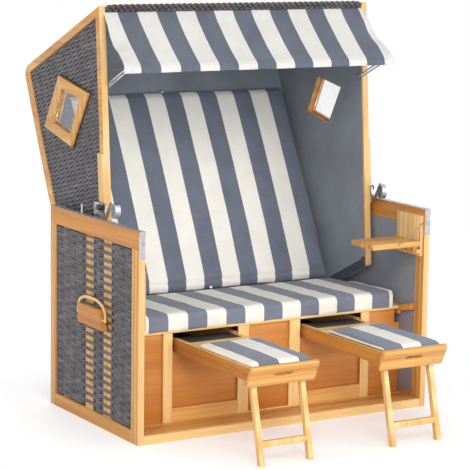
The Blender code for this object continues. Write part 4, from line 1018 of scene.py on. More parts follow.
@dataclass
class LowerBasket:
    """Side walls, rear wall, floor and seat box of the lower basket."""

    weaver: Weaver
    joinery: Joinery
    skin_middle: float = 0.6328
    behind_batten: float = 0.6189
    over_batten: float = 0.6303
    shade_sheet: float = 0.6280
    opening: tuple[float, float, float, float] = (-0.3075, 0.3205, 0.0475, 0.7163)
    battens: tuple[Flat, Flat] = ((-0.130, -0.065), (0.017, 0.079))
    stakes: tuple[float, ...] = (-0.284, -0.226, -0.165, -0.0975, 0.048, 0.112, 0.170, 0.228, 0.286)
    row_start: float = 0.0692
    top_rail: float = 0.7168
    front_stile: float = -0.308
    rear_stile: float = 0.321
    bottom_rail: float = 0.047
    rear_half: float = 0.5747
    rear_top: float = 0.353
    rear_skin: float = 0.3535
    rear_spacing: float = 0.0605
    rear_step: float = 0.013
    rear_post: float = 0.5762
    shade_sheet_thick: float = 0.0006
    shade_sheet_behind: float = 0.0040
    batten_reach: float = 0.040
    stake_size: Flat = (0.0042, 0.0028)
    stake_steps: int = 8
    beside_stake: float = 0.01
    front_edge: float = -0.3608
    bay_top: float = 0.0841
    bay_edges: tuple[Flat, Flat] = ((-0.4225, -0.1385), (0.1385, 0.4225))
    bay_overlap: Flat = (0.0015, 0.0005)
    panel_ease: float = 0.0008
    lip_rear: float = -0.30
    lip_front: float = -0.3075
    lip_half: float = 0.59
    lip_rise: float = 0.0160

    def side_skin(self, name: str, side: float) -> None:
        """Weave a side's skin, laced over and behind its two show battens.

        Args:
            name: Side's name.
            side: Side's sign.
        """
        lines = LineSet()
        near, far, low, high = self.opening
        pitch = self.weaver.pitch
        count = int((high - low) / pitch)
        first = self.row_start - 0.5 * pitch
        shift = round((first - low) / pitch)
        for number in range(count):
            z = first + (number - shift + 0.75) * pitch
            if not low + pitch / 2 < z < high - pitch / 2:
                continue
            parity = ((number - shift) // 2) % 2
            steps = int((far - near) / self.weaver.step)
            points = []
            for index in range(steps + 1):
                y = near + (far - near) * index / steps
                x = self.skin_middle + self.weaver.wave * self.weaver.height(y, self.stakes, parity)
                x = self.beside_batten(y, parity, x)
                points.append((Vector((side * self.skin_middle, y, z)),
                               Vector((side * (x - self.skin_middle), 0.0, 0.0)), Vector((side, 0.0, 0.0))))
            lines.line(points)
        mesh = self.weaver.tree.sweep(f"skin_{name}", lines.mesh(f"skin_lines_{name}"), self.weaver.width,
                                      self.weaver.thickness, STRAND)
        add_piece(f"basket_skin_{name}", mesh, "basket", STRAND, (f"side_weave_{name}",))

    def beside_batten(self, y: float, parity: int, x: float) -> float:
        """Return a strand's place across the wall, near the show battens.

        Args:
            y: Place along the wall.
            parity: Which of the two sets of strands it belongs to.
            x: Place that the plain weave gives.

        Returns:
            The place, in front of or behind a batten.
        """
        for index, (low, high) in enumerate(self.battens):
            over = (index + parity) % 2 == 1
            target = self.over_batten if over else self.behind_batten
            away = max(low - y, y - high, 0.0)
            if away < self.batten_reach:
                share = away / self.batten_reach
                ease = share * share * (3 - 2 * share)
                return target * (1 - ease) + x * ease
        return x

    def stakes_of(self, name: str, side: float) -> None:
        """Set the round stakes that the side's strands cross.

        Args:
            name: Side's name.
            side: Side's sign.
        """
        lines = LineSet()
        _, _, low, high = self.opening
        for y in self.stakes:
            if any(start - self.beside_stake < y < stop + self.beside_stake for start, stop in self.battens):
                continue
            points = []
            for step in range(self.stake_steps + 1):
                z = low + (high - low) * step / self.stake_steps
                points.append((Vector((side * self.skin_middle, y, z)), Vector((0, 0, 0)), Vector((side, 0, 0))))
            lines.line(points)
        mesh = self.weaver.tree.sweep(f"stakes_{name}", lines.mesh(f"stake_lines_{name}"), *self.stake_size, STRAND)
        add_piece(f"basket_stakes_{name}", mesh, "basket", STRAND)

    def backing(self, name: str, side: float) -> None:
        """Set black sheets behind a side's skin, up to its show battens, as painted shade seen through the gaps
        between strands.

        Args:
            name: Side's name.
            side: Side's sign.
        """
        near, far, low, high = self.opening
        marks = [near, *(edge for batten in self.battens for edge in batten), far]
        depth = on_side(side, self.shade_sheet, self.shade_sheet + self.shade_sheet_thick)
        for index in range(0, len(marks), 2):
            outline = [(marks[index], low), (marks[index + 1], low), (marks[index + 1], high), (marks[index], high)]
            # Black sheet: painted shade behind the weave.
            add_piece(f"basket_felt_{name}_{index // 2}", slab("shade_sheet", outline, *depth), "basket", BLACK)

    def rear_wall(self) -> None:
        """Weave the low rear wall."""
        lines = LineSet()
        half = self.rear_half
        low, high = self.bottom_rail, self.rear_top
        spacing = self.rear_spacing
        stakes = [-half + spacing * (index + 0.5) for index in range(int(2 * half / spacing))]
        count = int((high - low) / self.weaver.pitch)
        for number in range(count):
            z = low + (number + 0.5) * self.weaver.pitch
            steps = int(2 * half / self.rear_step)
            points = []
            for index in range(steps + 1):
                x = -half + 2 * half * index / steps
                swing = self.weaver.wave * self.weaver.height(x, stakes, (number // 2) % 2)
                points.append((Vector((x, self.rear_skin, z)), Vector((0, swing, 0)), Vector((0, 1, 0))))
            lines.line(points)
        mesh = self.weaver.tree.sweep("rear_skin", lines.mesh("rear_skin_lines"), self.weaver.width,
                                      self.weaver.thickness, STRAND)
        add_piece("basket_skin_rear", mesh, "basket", STRAND, ("rear_weave",))
        # A black sheet behind the rear weave is painted shade seen through its gaps.
        outline = [(-half, low), (half, low), (half, high), (-half, high)]
        face = self.rear_skin - self.shade_sheet_behind
        shade_sheet = slab("shade_sheet", outline, face - self.shade_sheet_thick, face, 1)
        add_piece("rear_shade_sheet", shade_sheet, "basket", BLACK)

    def woodwork(self) -> None:
        """Dress the wooden pieces."""
        for name, side in SIDES:
            members = [Member(Wood.BLOND(Grain.UPRIGHT, 0.2 * side), high=(FAR, self.front_edge, FAR)),
                       Member(Wood.DEEP(Grain.DEPTH, 0.3 * side), low=(-FAR, -FAR, self.top_rail)),
                       Member(Wood.HONEY(Grain.UPRIGHT, 0.2 * side), high=(FAR, self.front_stile, FAR)),
                       Member(Wood.HONEY(Grain.UPRIGHT, 0.7 * side), low=(-FAR, self.rear_stile, -FAR)),
                       Member(Wood.HONEY(Grain.DEPTH, 0.5 * side), high=(FAR, FAR, self.bottom_rail)),
                       Member(Wood.HONEY(Grain.UPRIGHT, 0.4 * side))]
            cuts = [((0, self.front_stile, 0), (0, 1, 0)), ((0, self.rear_stile, 0), (0, 1, 0)),
                    ((0, 0, self.top_rail), (0, 0, 1)), ((0, 0, self.bottom_rail), (0, 0, 1))]
            self.joinery.remake(f"side_frame_{name}", "basket", members, cuts)
            self.joinery.remake(f"runner_{name}", "basket", [Member(Wood.PALE(Grain.DEPTH, 0.1))])
        rail = [Member(Wood.HONEY(Grain.ACROSS, 0.2), low=(-FAR, -FAR, self.rear_top)),
                Member(Wood.HONEY(Grain.ACROSS, 0.6), high=(FAR, FAR, self.bottom_rail)),
                Member(Wood.HONEY(Grain.UPRIGHT, 0.3))]
        self.joinery.remake("rear_frame", "basket", rail,
                            [((0, 0, self.rear_top), (0, 0, 1)), ((0, 0, self.bottom_rail), (0, 0, 1)),
                             ((self.rear_post, 0, 0), (1, 0, 0))])
        self.joinery.remake("front_sill", "basket", [Member(Wood.PALE(Grain.ACROSS, 0.5))])
        self.joinery.remake("floor_frame", "basket", [Member(Wood.HONEY(Grain.ACROSS, 0.8))], slot="pale_wood")
        outer, inner = self.bay_overlap
        (left, near_left), (near_right, right) = self.bay_edges
        bays = ((left - outer, near_left - inner), (near_right + inner, right + outer))
        post = [Member(Wood.HONEY(Grain.ACROSS, 0.4), (start, -FAR, -FAR), (stop, FAR, self.bay_top))
                for start, stop in bays]
        post.append(Member(Wood.PALE(Grain.UPRIGHT, 0.2)))
        edges = [((x, 0, 0), (1, 0, 0)) for pair in self.bay_edges for x in pair]
        self.joinery.remake("box_front_frame", "basket", post, edges)
        self.joinery.remake("box_front_panel", "basket", [Member(Wood.PLYWOOD(Grain.ACROSS, 0.2))],
                            ease=self.panel_ease)

        def lip(place: Vector) -> Vector:
            """Lift a ledger's front end into a lip."""
            if place.y > self.lip_rear or abs(place.x) < self.lip_half:
                return place
            return Vector((place.x, self.lip_front, place.z + self.lip_rise))
        self.joinery.remake("seat_rails", "basket", [Member(Wood.DEEP(Grain.DEPTH, 0.6))], slot="pale_wood",
                            reshape=lip)
        self.joinery.remake("seat_board", "basket", [Member(Wood.PALE(Grain.ACROSS, 0.7))])

    def cloth_and_strips(self) -> None:
        """Finish the inner panels and the metal strips."""
        for name, _ in SIDES:
            dress(f"side_lining_{name}", LINING)
            dress(f"arm_strip_{name}", DULL_STEEL)

    def build(self) -> None:
        """Build the lower basket."""
        for name, side in SIDES:
            self.side_skin(name, side)
            self.stakes_of(name, side)
            self.backing(name, side)
        self.rear_wall()
        self.woodwork()
        self.cloth_and_strips()


def dress(node: str, finish: Finish) -> None:
    """Give a CAD node that is kept its finish.

    Args:
        node: Name of the node.
        finish: Its finish.
    """
    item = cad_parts[node]
    if not item.data.materials:
        item.data.materials.append(finish.material())
    for index in range(len(item.material_slots)):
        item.material_slots[index].material = finish.material()
    LOG.info("node %s finished as %s", node, finish.name)


@dataclass
class Hood:
    """Tilting hood: side frames, woven skins, windows, back skin and braided edge."""

    weaver: Weaver
    joinery: Joinery
    side_opening: tuple[Flat, ...] = ((0.0753, 1.5198), (0.6548, 1.2706), (0.5856, 1.1187), (0.5202, 0.9771),
                                      (0.4530, 0.8365), (0.3835, 0.6969), (0.3122, 0.5583), (0.2391, 0.4186),
                                      (-0.0025, 0.5364))
    window: tuple[Flat, ...] = ((0.368, 1.2815), (0.1164, 1.2342), (0.2558, 1.0204), (0.4916, 1.0738))
    pane: tuple[Flat, ...] = ((0.342, 1.235), (0.186, 1.209), (0.267, 1.067), (0.411, 1.098))
    frame_faces: Flat = (0.5705, 0.6050)
    rebate_face: float = 0.5905
    rebate: float = 0.0100
    pane_faces: Flat = (0.5930, 0.5960)
    pane_inset: float = 0.0020
    shade_sheet_faces: Flat = (0.5838, 0.5844)
    cloth_faces: Flat = (0.5692, 0.5698)
    rim_faces: Flat = (0.5915, 0.5965)
    shade_sheet_gap: float = 0.001
    rim_gap: float = 0.0004
    rim_width: float = 0.0041
    cloth_lap: float = 0.004
    cloth_reveal: float = 0.0108
    rear_strip: Flat = (0.0180, -0.0088)
    apex: Flat = (0.0465, 1.564)
    post_foot: Flat = (-0.0364, 0.53)
    roof_end: Flat = (0.700, 1.283)
    back_foot: Flat = (0.2715, 0.4047)
    member_depths: tuple[float, float, float, float] = (0.042, 0.034, 0.040, 0.036)
    foot_top: float = 0.512
    covered: tuple[tuple[Flat, ...], ...] = (
        ((0.0753, 1.5198), (0.0532, 1.5100), (-0.0245, 0.5480), (-0.0015, 0.5480)),
        ((-0.0170, 0.5067), (0.2246, 0.3889), (0.2391, 0.4186), (-0.0025, 0.5364), (-0.0015, 0.5480),
         (-0.0255, 0.5480), (-0.0273, 0.5117)))
    roof: Flat = (0.91867, -0.39502)
    roof_in: Flat = (-0.39502, -0.91867)
    skin_middle: float = 0.5880
    brick_pitch: float = 0.0083
    half: float = 0.5695
    samples: tuple[tuple[float, Flat, Flat], ...] = (
        (0.0, (0.0465, 1.564), (-0.39502, -0.91867)), (0.6694, (0.6615, 1.2996), (-0.39502, -0.91867)),
        (0.6823, (0.67, 1.2946), (-0.60808, -0.79387)), (0.6953, (0.6795, 1.2842), (-0.84609, -0.53304)),
        (0.7082, (0.6852, 1.2688), (-0.98898, -0.14804)), (0.7212, (0.6848, 1.2546), (-0.97878, 0.20491)),
        (0.7341, (0.6816, 1.2453), (-0.89874, 0.43849)), (0.89, (0.6173, 1.1032), (-0.89874, 0.43849)),
        (1.0459, (0.5519, 0.9617), (-0.89874, 0.43849)), (1.2018, (0.4846, 0.821), (-0.89874, 0.43849)),
        (1.3577, (0.4152, 0.6814), (-0.89874, 0.43849)), (1.5136, (0.3439, 0.5428), (-0.89874, 0.43849)),
        (1.6695, (0.2715, 0.4047), (-0.89874, 0.43849)))
    skin_start: float = 0.027
    skin_end: float = 1.695
    skin_depth: float = 0.0062
    back_spacing: float = 0.0605
    back_step: float = 0.0152
    side_spacing: float = 0.047
    side_reach: Flat = (0.9, 2.4)
    braid_centre: Flat = (0.049, 1.553)
    braid_radius: float = 0.0165
    braid_turn: float = 0.074
    braid_swing: Flat = (0.62, 0.36)
    braid_tilt: float = -40.0
    braid_end: float = 0.02
    braid_steps: int = 420
    braid_strand: Flat = (0.0145, 0.0125)

    def side_skin(self, name: str, side: float) -> None:
        """Weave a side's skin with its strands parallel to the roof.

        Args:
            name: Side's name.
            side: Side's sign.
        """
        lines = LineSet()
        before, length = self.side_reach
        stakes = [-before + self.side_spacing * index for index in range(60)]
        origin = Vector(self.apex)
        way = Vector(self.roof)
        down = Vector(self.roof_in)
        pitch = self.brick_pitch
        for number in range(150):
            start = origin + down * (number + 0.5) * pitch - way * before
            for near, far in spans(self.side_opening, [self.window], tuple(start), tuple(way), length):
                steps = max(int((far - near) / self.weaver.step), 2)
                points = []
                for index in range(steps + 1):
                    along = near + (far - near) * index / steps
                    spot = start + way * along
                    swing = self.weaver.wave * self.weaver.height(along - before, stakes, number % 2)
                    points.append((Vector((side * self.skin_middle, spot.x, spot.y)), Vector((side * swing, 0, 0)),
                                   Vector((side, 0, 0))))
                lines.line(points)
        mesh = self.weaver.tree.sweep(f"hood_skin_{name}", lines.mesh(f"hood_lines_{name}"), pitch * 0.95,
                                      self.weaver.thickness, STRAND)
        add_piece(f"hood_skin_{name}", mesh, "hood", STRAND, (f"hood_weave_{name}",))

    def point(self, way: float, depth: float) -> tuple[Vector, Vector]:
        """Return a place on the roof-and-back line and its outward direction.

        Args:
            way: Distance along the line from the front edge.
            depth: Depth inside the outer face.

        Returns:
            The place in Y and Z, and the outward direction.
        """
        for (start, first, normal), (stop, last, other) in zip(self.samples, self.samples[1:]):
            if way <= stop or stop == self.samples[-1][0]:
                share = (way - start) / (stop - start)
                inward = Vector(normal).lerp(Vector(other), min(share, 1.0)).normalized()
                spot = Vector(first) + (Vector(last) - Vector(first)) * share
                return spot + inward * depth, -inward
        raise ValueError("the hood's line has no such place")

    def back_skin(self) -> None:
        """Weave the one skin over roof and back."""
        lines = LineSet()
        spacing = self.back_spacing
        stakes = [-self.half + spacing * (index + 0.5) for index in range(int(2 * self.half / spacing) + 1)]
        count = int((self.skin_end - self.skin_start) / self.weaver.pitch)
        for number in range(count):
            way = self.skin_start + (number + 0.5) * self.weaver.pitch
            spot, out = self.point(way, self.skin_depth)
            normal = Vector((0.0, out.x, out.y))
            steps = int(2 * self.half / self.back_step)
            points = []
            for index in range(steps + 1):
                x = -self.half + 2 * self.half * index / steps
                swing = self.weaver.wave * self.weaver.height(x, stakes, (number // 2) % 2)
                points.append((Vector((x, spot.x, spot.y)), normal * swing, normal))
            lines.line(points)
        mesh = self.weaver.tree.sweep("hood_skin_back", lines.mesh("hood_back_lines"), self.weaver.width,
                                      self.weaver.thickness, STRAND)
        add_piece("hood_skin_back", mesh, "hood", STRAND, ("hood_weave_back",))

    def braid(self) -> None:
        """Plait the thick braid along the front edge from three bundles of strands."""
        lines = LineSet()
        length = 2 * self.half
        steps = self.braid_steps
        wide, tall = (self.braid_radius * share for share in self.braid_swing)
        tilt = math.radians(self.braid_tilt)
        for strand in range(3):
            phase = math.tau * strand / 3
            points = []
            for index in range(steps + 1):
                share = index / steps
                x = -self.half + length * share
                swell = min(min(share, 1 - share) * length / self.braid_end, 1.0)
                angle = math.tau * x / self.braid_turn + phase
                swing = math.sin(angle) * wide * swell
                lift = math.sin(2 * angle) * tall * swell
                y = self.braid_centre[0] + swing * math.sin(tilt) + lift * math.cos(tilt)
                z = self.braid_centre[1] + swing * math.cos(tilt) - lift * math.sin(tilt)
                points.append((Vector((x, y, z)), Vector((0, 0, 0)), Vector((0, math.cos(tilt), -math.sin(tilt)))))
            lines.line(points)
        mesh = self.weaver.tree.sweep("edge_braid_strands", lines.mesh("braid_lines"), *self.braid_strand,
                                      DARK_STRAND)
        add_piece("edge_braid_strands", mesh, "hood", DARK_STRAND, ("edge_braid",))

    def cloth_edges(self, name: str, side: float) -> None:
        """Set a black sheet behind a side's skin as painted shade, the cloth over its inner rails with a dark copy
        along the lower edge as painted shade, and a black rim round the window as painted shadow of its frame.

        Args:
            name: Side's name.
            side: Side's sign.
        """
        # Black sheet behind the skin: painted shade seen through the gaps between strands.
        shade_sheet = slab("shade_sheet", self.side_opening, *on_side(side, *self.shade_sheet_faces), 0,
                    [widened(self.window, self.shade_sheet_gap)])
        add_piece(f"hood_felt_{name}", shade_sheet, "hood", BLACK)
        face = on_side(side, *self.cloth_faces)
        rear = self.side_opening[1:8]
        strip = [*rear, *((y + self.rear_strip[0], z + self.rear_strip[1]) for y, z in reversed(rear))]
        # The strip along the lower edge takes the dark copy of the lining as painted shade of the gap under the hood
        # side.
        for label, outline, finish in ((0, self.covered[0], LINING), (1, self.covered[1], PAINTED_SHADE_LINING),
                                       ("rear", strip, LINING)):
            add_piece(f"hood_edge_cloth_{name}_{label}", slab("edge_cloth", outline, *face), "hood", finish)
        turned_in = slab("turned_in", widened(self.window, self.cloth_lap), *face, 0,
                         [widened(self.pane, self.cloth_reveal)])
        add_piece(f"window_edge_cloth_{name}", turned_in, "hood", LINING)
        # Black rim round the window: painted shadow of the proud frame on the weave.
        painted_shadow_rim = slab("painted_shadow_rim", widened(self.window, self.rim_gap + self.rim_width), *on_side(side, *self.rim_faces),
                      0, [widened(self.window, self.rim_gap)])
        add_piece(f"window_gasket_{name}", painted_shadow_rim, "hood", BLACK)

    def side_test(self, line: tuple[Flat, Flat], depth: float) -> Callable[[Vector], bool]:
        """Return a test for places within a depth of a line in Y and Z.

        Args:
            line: Two places on the line.
            depth: Greatest distance.

        Returns:
            The test.
        """
        first, last = Vector(line[0]), Vector(line[1])
        way = (last - first).normalized()

        def test(place: Vector) -> bool:
            """Say whether a place passes."""
            gap = Vector((place.y, place.z)) - first
            return abs(gap.x * way.y - gap.y * way.x) < depth
        return test

    def woodwork(self) -> None:
        """Dress the hood's wooden pieces."""
        lines = ((self.post_foot, self.apex), (self.apex, self.roof_end), (self.roof_end, self.back_foot),
                 (self.post_foot, self.back_foot))
        post, roof, back, foot = (self.side_test(line, depth) for line, depth in zip(lines, self.member_depths))
        for name, side in SIDES:
            # Faces along the frame's foot take the dark copy of the lining as painted shade.
            members = [Member(PAINTED_SHADE_LINING, test=lambda place: place.z < self.foot_top and foot(place)),
                       Member(Wood.BLOND(Grain.UPRIGHT, 0.6 * side), test=post),
                       Member(Wood.HONEY(Grain.ROOF, 0.2 * side), test=roof),
                       Member(Wood.HONEY(Grain.BACK, 0.4 * side), test=back),
                       Member(Wood.HONEY(Grain.DEPTH, 0.1 * side))]
            self.joinery.remake(f"hood_frame_{name}", "hood", members, slot="honey_wood")
            self.window_frame(name, side)
            dress(f"hood_lining_{name}", LINING)
            pane = slab("pane", widened(self.pane, -self.pane_inset), *on_side(side, *self.pane_faces))
            add_piece(f"window_pane_{name}_clear", pane, "hood", ClearPane(), (f"window_pane_{name}",))
        # The lower rail takes the dark copy of the lining as painted shade.
        for node, finish in (("header_rail", LINING), ("ridge_rail", Wood.PALE(Grain.ACROSS, 0.4)),
                             ("lower_rail", PAINTED_SHADE_LINING)):
            self.joinery.remake(node, "hood", [Member(finish)])
        dress("hood_lining_back", LINING)

    def window_frame(self, name: str, side: float) -> None:
        """Make a window's frame of four mitred bars.

        Args:
            name: Side's name.
            side: Side's sign.
        """
        outer = [Vector(point) for point in self.window]
        inner = [Vector(point) for point in self.pane]
        back_face, front_face = self.frame_faces
        outside = slab("window_outside", self.window, *on_side(side, self.rebate_face, front_face), 0, [self.pane])
        behind = slab("window_inside", self.window, *on_side(side, back_face, self.rebate_face), 0,
                      [widened(self.pane, self.rebate)])
        body = joined("window_frame", [outside, behind])
        cuts = []
        for first, last in zip(outer, inner):
            way = (last - first).normalized()
            cuts.append(((0.0, first.x, first.y), (0.0, -way.y, way.x)))

        def away(spot: Vector, loop: Sequence[Vector], index: int) -> float:
            """Measure how far a place is from a side of a loop."""
            start, stop = loop[index], loop[(index + 1) % len(loop)]
            return abs((spot - start).cross((stop - start).normalized()))

        def on_bar(number: int) -> Callable[[Vector], bool]:
            """Make a test for one bar of the frame.

            Args:
                number: Number of the bar.

            Returns:
                The test.
            """
            def test(place: Vector) -> bool:
                """Say whether a place passes."""
                spot = Vector((place.y, place.z))
                gaps = [away(spot, outer, index) + away(spot, inner, index) for index in range(len(outer))]
                return gaps.index(min(gaps)) == number
            return test
        members = []
        for index, start in enumerate(outer):
            way = outer[(index + 1) % len(outer)] - start
            grain = Grain.DEPTH if abs(way.x) > abs(way.y) else Grain.UPRIGHT
            members.append(Member(Wood.HONEY(grain, 0.5 + 0.2 * index), test=on_bar(index)))
        self.joinery.remake(f"window_frame_{name}", "hood", members, cuts, slot="honey_wood", solid=body)

    def build(self) -> None:
        """Build the hood."""
        for name, side in SIDES:
            self.side_skin(name, side)
            self.cloth_edges(name, side)
        self.back_skin()
        self.braid()
        self.woodwork()


@dataclass(frozen=True)
class Stuffing:
    """How a cushion swells in its cloth simulation."""

    voxel: float
    pressure: float
    cap: float
    shrink: float
    frames: int = 20
    quality: int = 4
    mass: float = 0.3
    stretch: float = 15.0
    bending: float = 0.5
    weld: float = 0.00002


@dataclass
class Upholstery:
    """Seat cushion, back cushion and footrest pads."""

    seat_stripes: StripedCloth = field(default_factory=lambda: StripedCloth("seat_stripes", -0.027))
    # The back cushion's copy of the striped cloth has a lighter cream and a darker blue than the seat's: painted
    # light on the cream and painted shade on the blue.
    back_stripes: StripedCloth = field(default_factory=lambda: StripedCloth(
        "back_stripes", -0.027, cream=(0.95, 0.92, 0.84), blue=(0.150, 0.168, 0.218)))
    pad_stripes: dict[str, StripedCloth] = field(default_factory=lambda: {
        "left": StripedCloth("pad_stripes_left", -0.375, 0.1675, 0.51),
        "right": StripedCloth("pad_stripes_right", 0.1580, 0.166, 0.50)})
    seat_top: Flat = (0.4395, 0.4270)
    seat_low: float = 0.3824
    pad_grow: float = 0.017
    pad_rear: float = -0.385
    seat_ends: Flat = (-0.231, 0.2035)
    seat_joints: tuple[float, float, float] = (-0.190, -0.197, 0.088)
    seat_rear_from: float = -0.10
    seat_halves: tuple[float, float, float, float] = (0.568, 0.573, 0.597, 0.560)
    nose_radius: float = 0.016
    apron: tuple[float, float, float, float] = (-0.2245, 0.003, 0.0035, 0.006)
    studs: tuple[Point, ...] = ((-0.0357, 0.5759, 1.1835), (-0.0077, 0.210, 0.4335))
    stud_radius: float = 0.0075
    stud_flat: float = 0.36
    stud_lift: float = 0.001
    stud_dent: Flat = (0.005, 0.018)
    back_out: Point = (0.0, -0.899, 0.438)
    foot_from: float = 0.470
    foot_length: float = 0.050
    foot_drape: Point = (0.0, 0.021, 0.011)
    fold_height: float = 0.4600
    fold_wander: float = 0.003
    fold_width: float = 0.0065
    fold_depth: float = 0.0080

    def puffed(self, node: str, stuffing: Stuffing, solid: bpy.types.Mesh | None = None,
               reshape: Callable[[Vector], Vector] | None = None) -> bpy.types.Mesh:
        """Return a CAD cushion swollen by a short cloth simulation.

        Args:
            node: The cushion's CAD node.
            stuffing: How it swells.
            solid: A mesh that takes the place of the CAD solid, or None.
            reshape: Moves each corner of the CAD solid, or None.

        Returns:
            The finished mesh.
        """
        work = bmesh.new()
        work.from_mesh(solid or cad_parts[node].data)
        for vertex in work.verts if reshape else ():
            vertex.co = reshape(vertex.co)
        bmesh.ops.remove_doubles(work, verts=work.verts, dist=stuffing.weld)
        bmesh.ops.recalc_face_normals(work, faces=work.faces)
        for vertex, normal in [(vertex, vertex.normal.copy()) for vertex in work.verts]:
            vertex.co -= normal * stuffing.shrink
        mesh = bpy.data.meshes.new(node + "_start")
        work.to_mesh(mesh)
        work.free()
        item = temporary(node + "_start", mesh)
        remesh = item.modifiers.new("even faces", "REMESH")
        remesh.mode = "VOXEL"
        remesh.voxel_size = stuffing.voxel
        start = evaluated(item)
        before = [vertex.co.copy() for vertex in start.vertices]
        item = temporary(node + "_cloth", start)
        cloth = item.modifiers.new("stuffing", "CLOTH")
        settings = cloth.settings
        settings.quality = stuffing.quality
        settings.mass = stuffing.mass
        settings.use_pressure = True
        settings.uniform_pressure_force = stuffing.pressure
        settings.effector_weights.gravity = 0.0
        settings.tension_stiffness = stuffing.stretch
        settings.compression_stiffness = stuffing.stretch
        settings.bending_stiffness = stuffing.bending
        cloth.collision_settings.use_collision = False
        cloth.point_cache.frame_start = 1
        cloth.point_cache.frame_end = stuffing.frames
        for number in range(1, stuffing.frames + 1):
            bpy.context.scene.frame_set(number)
        done = evaluated(item)
        bpy.context.scene.frame_set(1)
        for vertex, rest in zip(done.vertices, before):
            move = vertex.co - rest
            if move.length > stuffing.cap:
                vertex.co = rest + move.normalized() * stuffing.cap
        return shade_smooth(done)

    def crease(self, mesh: bpy.types.Mesh, depth: float, scale: float, stretch: Point) -> None:
        """Add soft creases along a mesh's normals.

        Args:
            mesh: The mesh.
            depth: Depth of the creases.
            scale: How many fit in a metre.
            stretch: How the pattern is drawn out.
        """
        pull = Vector(stretch)
        moved = []
        for vertex in mesh.vertices:
            spot = Vector(a * b for a, b in zip(vertex.co, pull)) * scale
            value = noise.noise(spot) + 0.5 * noise.noise(spot * 2.3)
            moved.append(vertex.co + vertex.normal * depth * value)
        for vertex, place in zip(mesh.vertices, moved):
            vertex.co = place

    def profile(self, front: float, rear: float, rounded: bool = False) -> list[Flat]:
        """Return a length of the seat cushion's side outline, in Y and Z.

        Args:
            front: Where it starts.
            rear: Where it stops.
            rounded: Whether its front is the cushion's rounded front.

        Returns:
            The outline.
        """
        top_front, top_rear = self.seat_top
        first, last = self.seat_ends

        def top(y: float) -> float:
            """Return the cushion's top height."""
            return top_front + (top_rear - top_front) * max((y - first) / (last - first), 0.0)
        low = self.seat_low
        if not rounded:
            return [(front, low), (rear, low), (rear, top(rear)), (front, top(front))]
        radius = self.nose_radius
        nose = [(front + radius * (1 - math.sin(angle)), top(front) - radius * (1 - math.cos(angle)))
                for angle in (math.radians(step) for step in range(0, 91, 15))]
        inner, corner, inset, drop = self.apron
        return [(inner, low), (rear, low), (rear, top(rear)), *nose, (front, low - corner),
                (front + inset, low - drop), (inner, low - drop)]

    def seat(self) -> None:
        """Make the seat cushion."""
        first, last = self.seat_ends
        front_stop, middle_start, middle_stop = self.seat_joints
        left, right, middle, rear = self.seat_halves
        fabric = [slab("seat_front", self.profile(first, front_stop, True), -left, right),
                  slab("seat_middle", self.profile(middle_start, middle_stop), -middle, middle),
                  slab("seat_rear", self.profile(self.seat_rear_from, last), -rear, rear)]
        mesh = self.puffed("seat_cushion", Stuffing(0.0065, 3.0, 0.005, 0.0), joined("seat_start", fabric))
        self.crease(mesh, 0.0016, 9.0, (1.0, 1.6, 1.0))
        item = add_piece("seat_cushion_soft", mesh, "basket", self.seat_stripes, ("seat_cushion",))

    def back(self) -> None:
        """Make the tall back cushion."""
        mesh = self.puffed("back_cushion", Stuffing(0.0085, 2.5, 0.006, 0.003))
        self.crease(mesh, 0.0022, 6.0, (1.4, 1.0, 0.6))
        out = Vector(self.back_out)
        depth, reach = self.stud_dent
        faced = [vertex.normal.y < -0.2 for vertex in mesh.vertices]
        for vertex, front in zip(mesh.vertices, faced):
            place = vertex.co.copy()
            near = max(self.foot_from - place.z, 0.0) / self.foot_length
            ripple = 0.6 + 0.4 * noise.noise(Vector((place.x * 9.0, 0.0, 0.0)))
            wander = self.fold_wander * noise.noise(place * 6.0)
            fold = math.exp(-((place.z - self.fold_height - wander) / self.fold_width) ** 2)
            dent = self.fold_depth * fold * ripple if front else 0.0
            for stud in self.studs:
                dent += depth * math.exp(-((place - Vector(stud)).length / reach) ** 2)
            vertex.co = place - out * dent - Vector(self.foot_drape) * near * near
        item = add_piece("back_cushion_soft", mesh, "hood", self.back_stripes, ("back_cushion",))
        for index, stud in enumerate(self.studs):
            self.stud(f"back_stud_{index}", Vector(stud), out)

    def stud(self, name: str, place: Vector, out: Vector) -> None:
        """Set a domed press stud on the back cushion.

        Args:
            name: Name of the piece.
            place: Where it sits.
            out: Way that it faces.
        """
        work = bmesh.new()
        bmesh.ops.create_uvsphere(work, u_segments=24, v_segments=12, radius=self.stud_radius)
        turn = out.to_track_quat("Z", "Y").to_matrix()
        for vertex in work.verts:
            flat = Vector((vertex.co.x, vertex.co.y, vertex.co.z * self.stud_flat))
            vertex.co = place + out * self.stud_lift + turn @ flat
        mesh = bpy.data.meshes.new(name)
        work.to_mesh(mesh)
        work.free()
        add_piece(name, shade_smooth(mesh), "hood", STEEL)

    def pads(self) -> None:
        """Make the two footrest pads."""
        for name, _ in SIDES:
            low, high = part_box(f"footrest_pad_{name}")
            middle = (low[0] + high[0]) / 2
            widen = (high[0] - low[0] + 2 * self.pad_grow) / (high[0] - low[0])
            shorten = (self.pad_rear - low[1]) / (high[1] - low[1])

            def fit(place: Vector, low: Sequence[float] = low, middle: float = middle, widen: float = widen,
                    shorten: float = shorten) -> Vector:
                """Widen and shorten the pad about its middle and front."""
                return Vector((middle + (place.x - middle) * widen, low[1] + (place.y - low[1]) * shorten, place.z))
            mesh = self.puffed(f"footrest_pad_{name}", Stuffing(0.0045, 3.0, 0.004, 0.002), None, fit)
            self.crease(mesh, 0.0010, 16.0, (1.0, 1.0, 1.0))
            item = add_piece(f"footrest_pad_soft_{name}", mesh, f"footrest_slide_{name}", self.pad_stripes[name],
                             (f"footrest_pad_{name}",))

    def build(self) -> None:
        """Build the soft goods."""
        self.seat()
        self.back()
        self.pads()


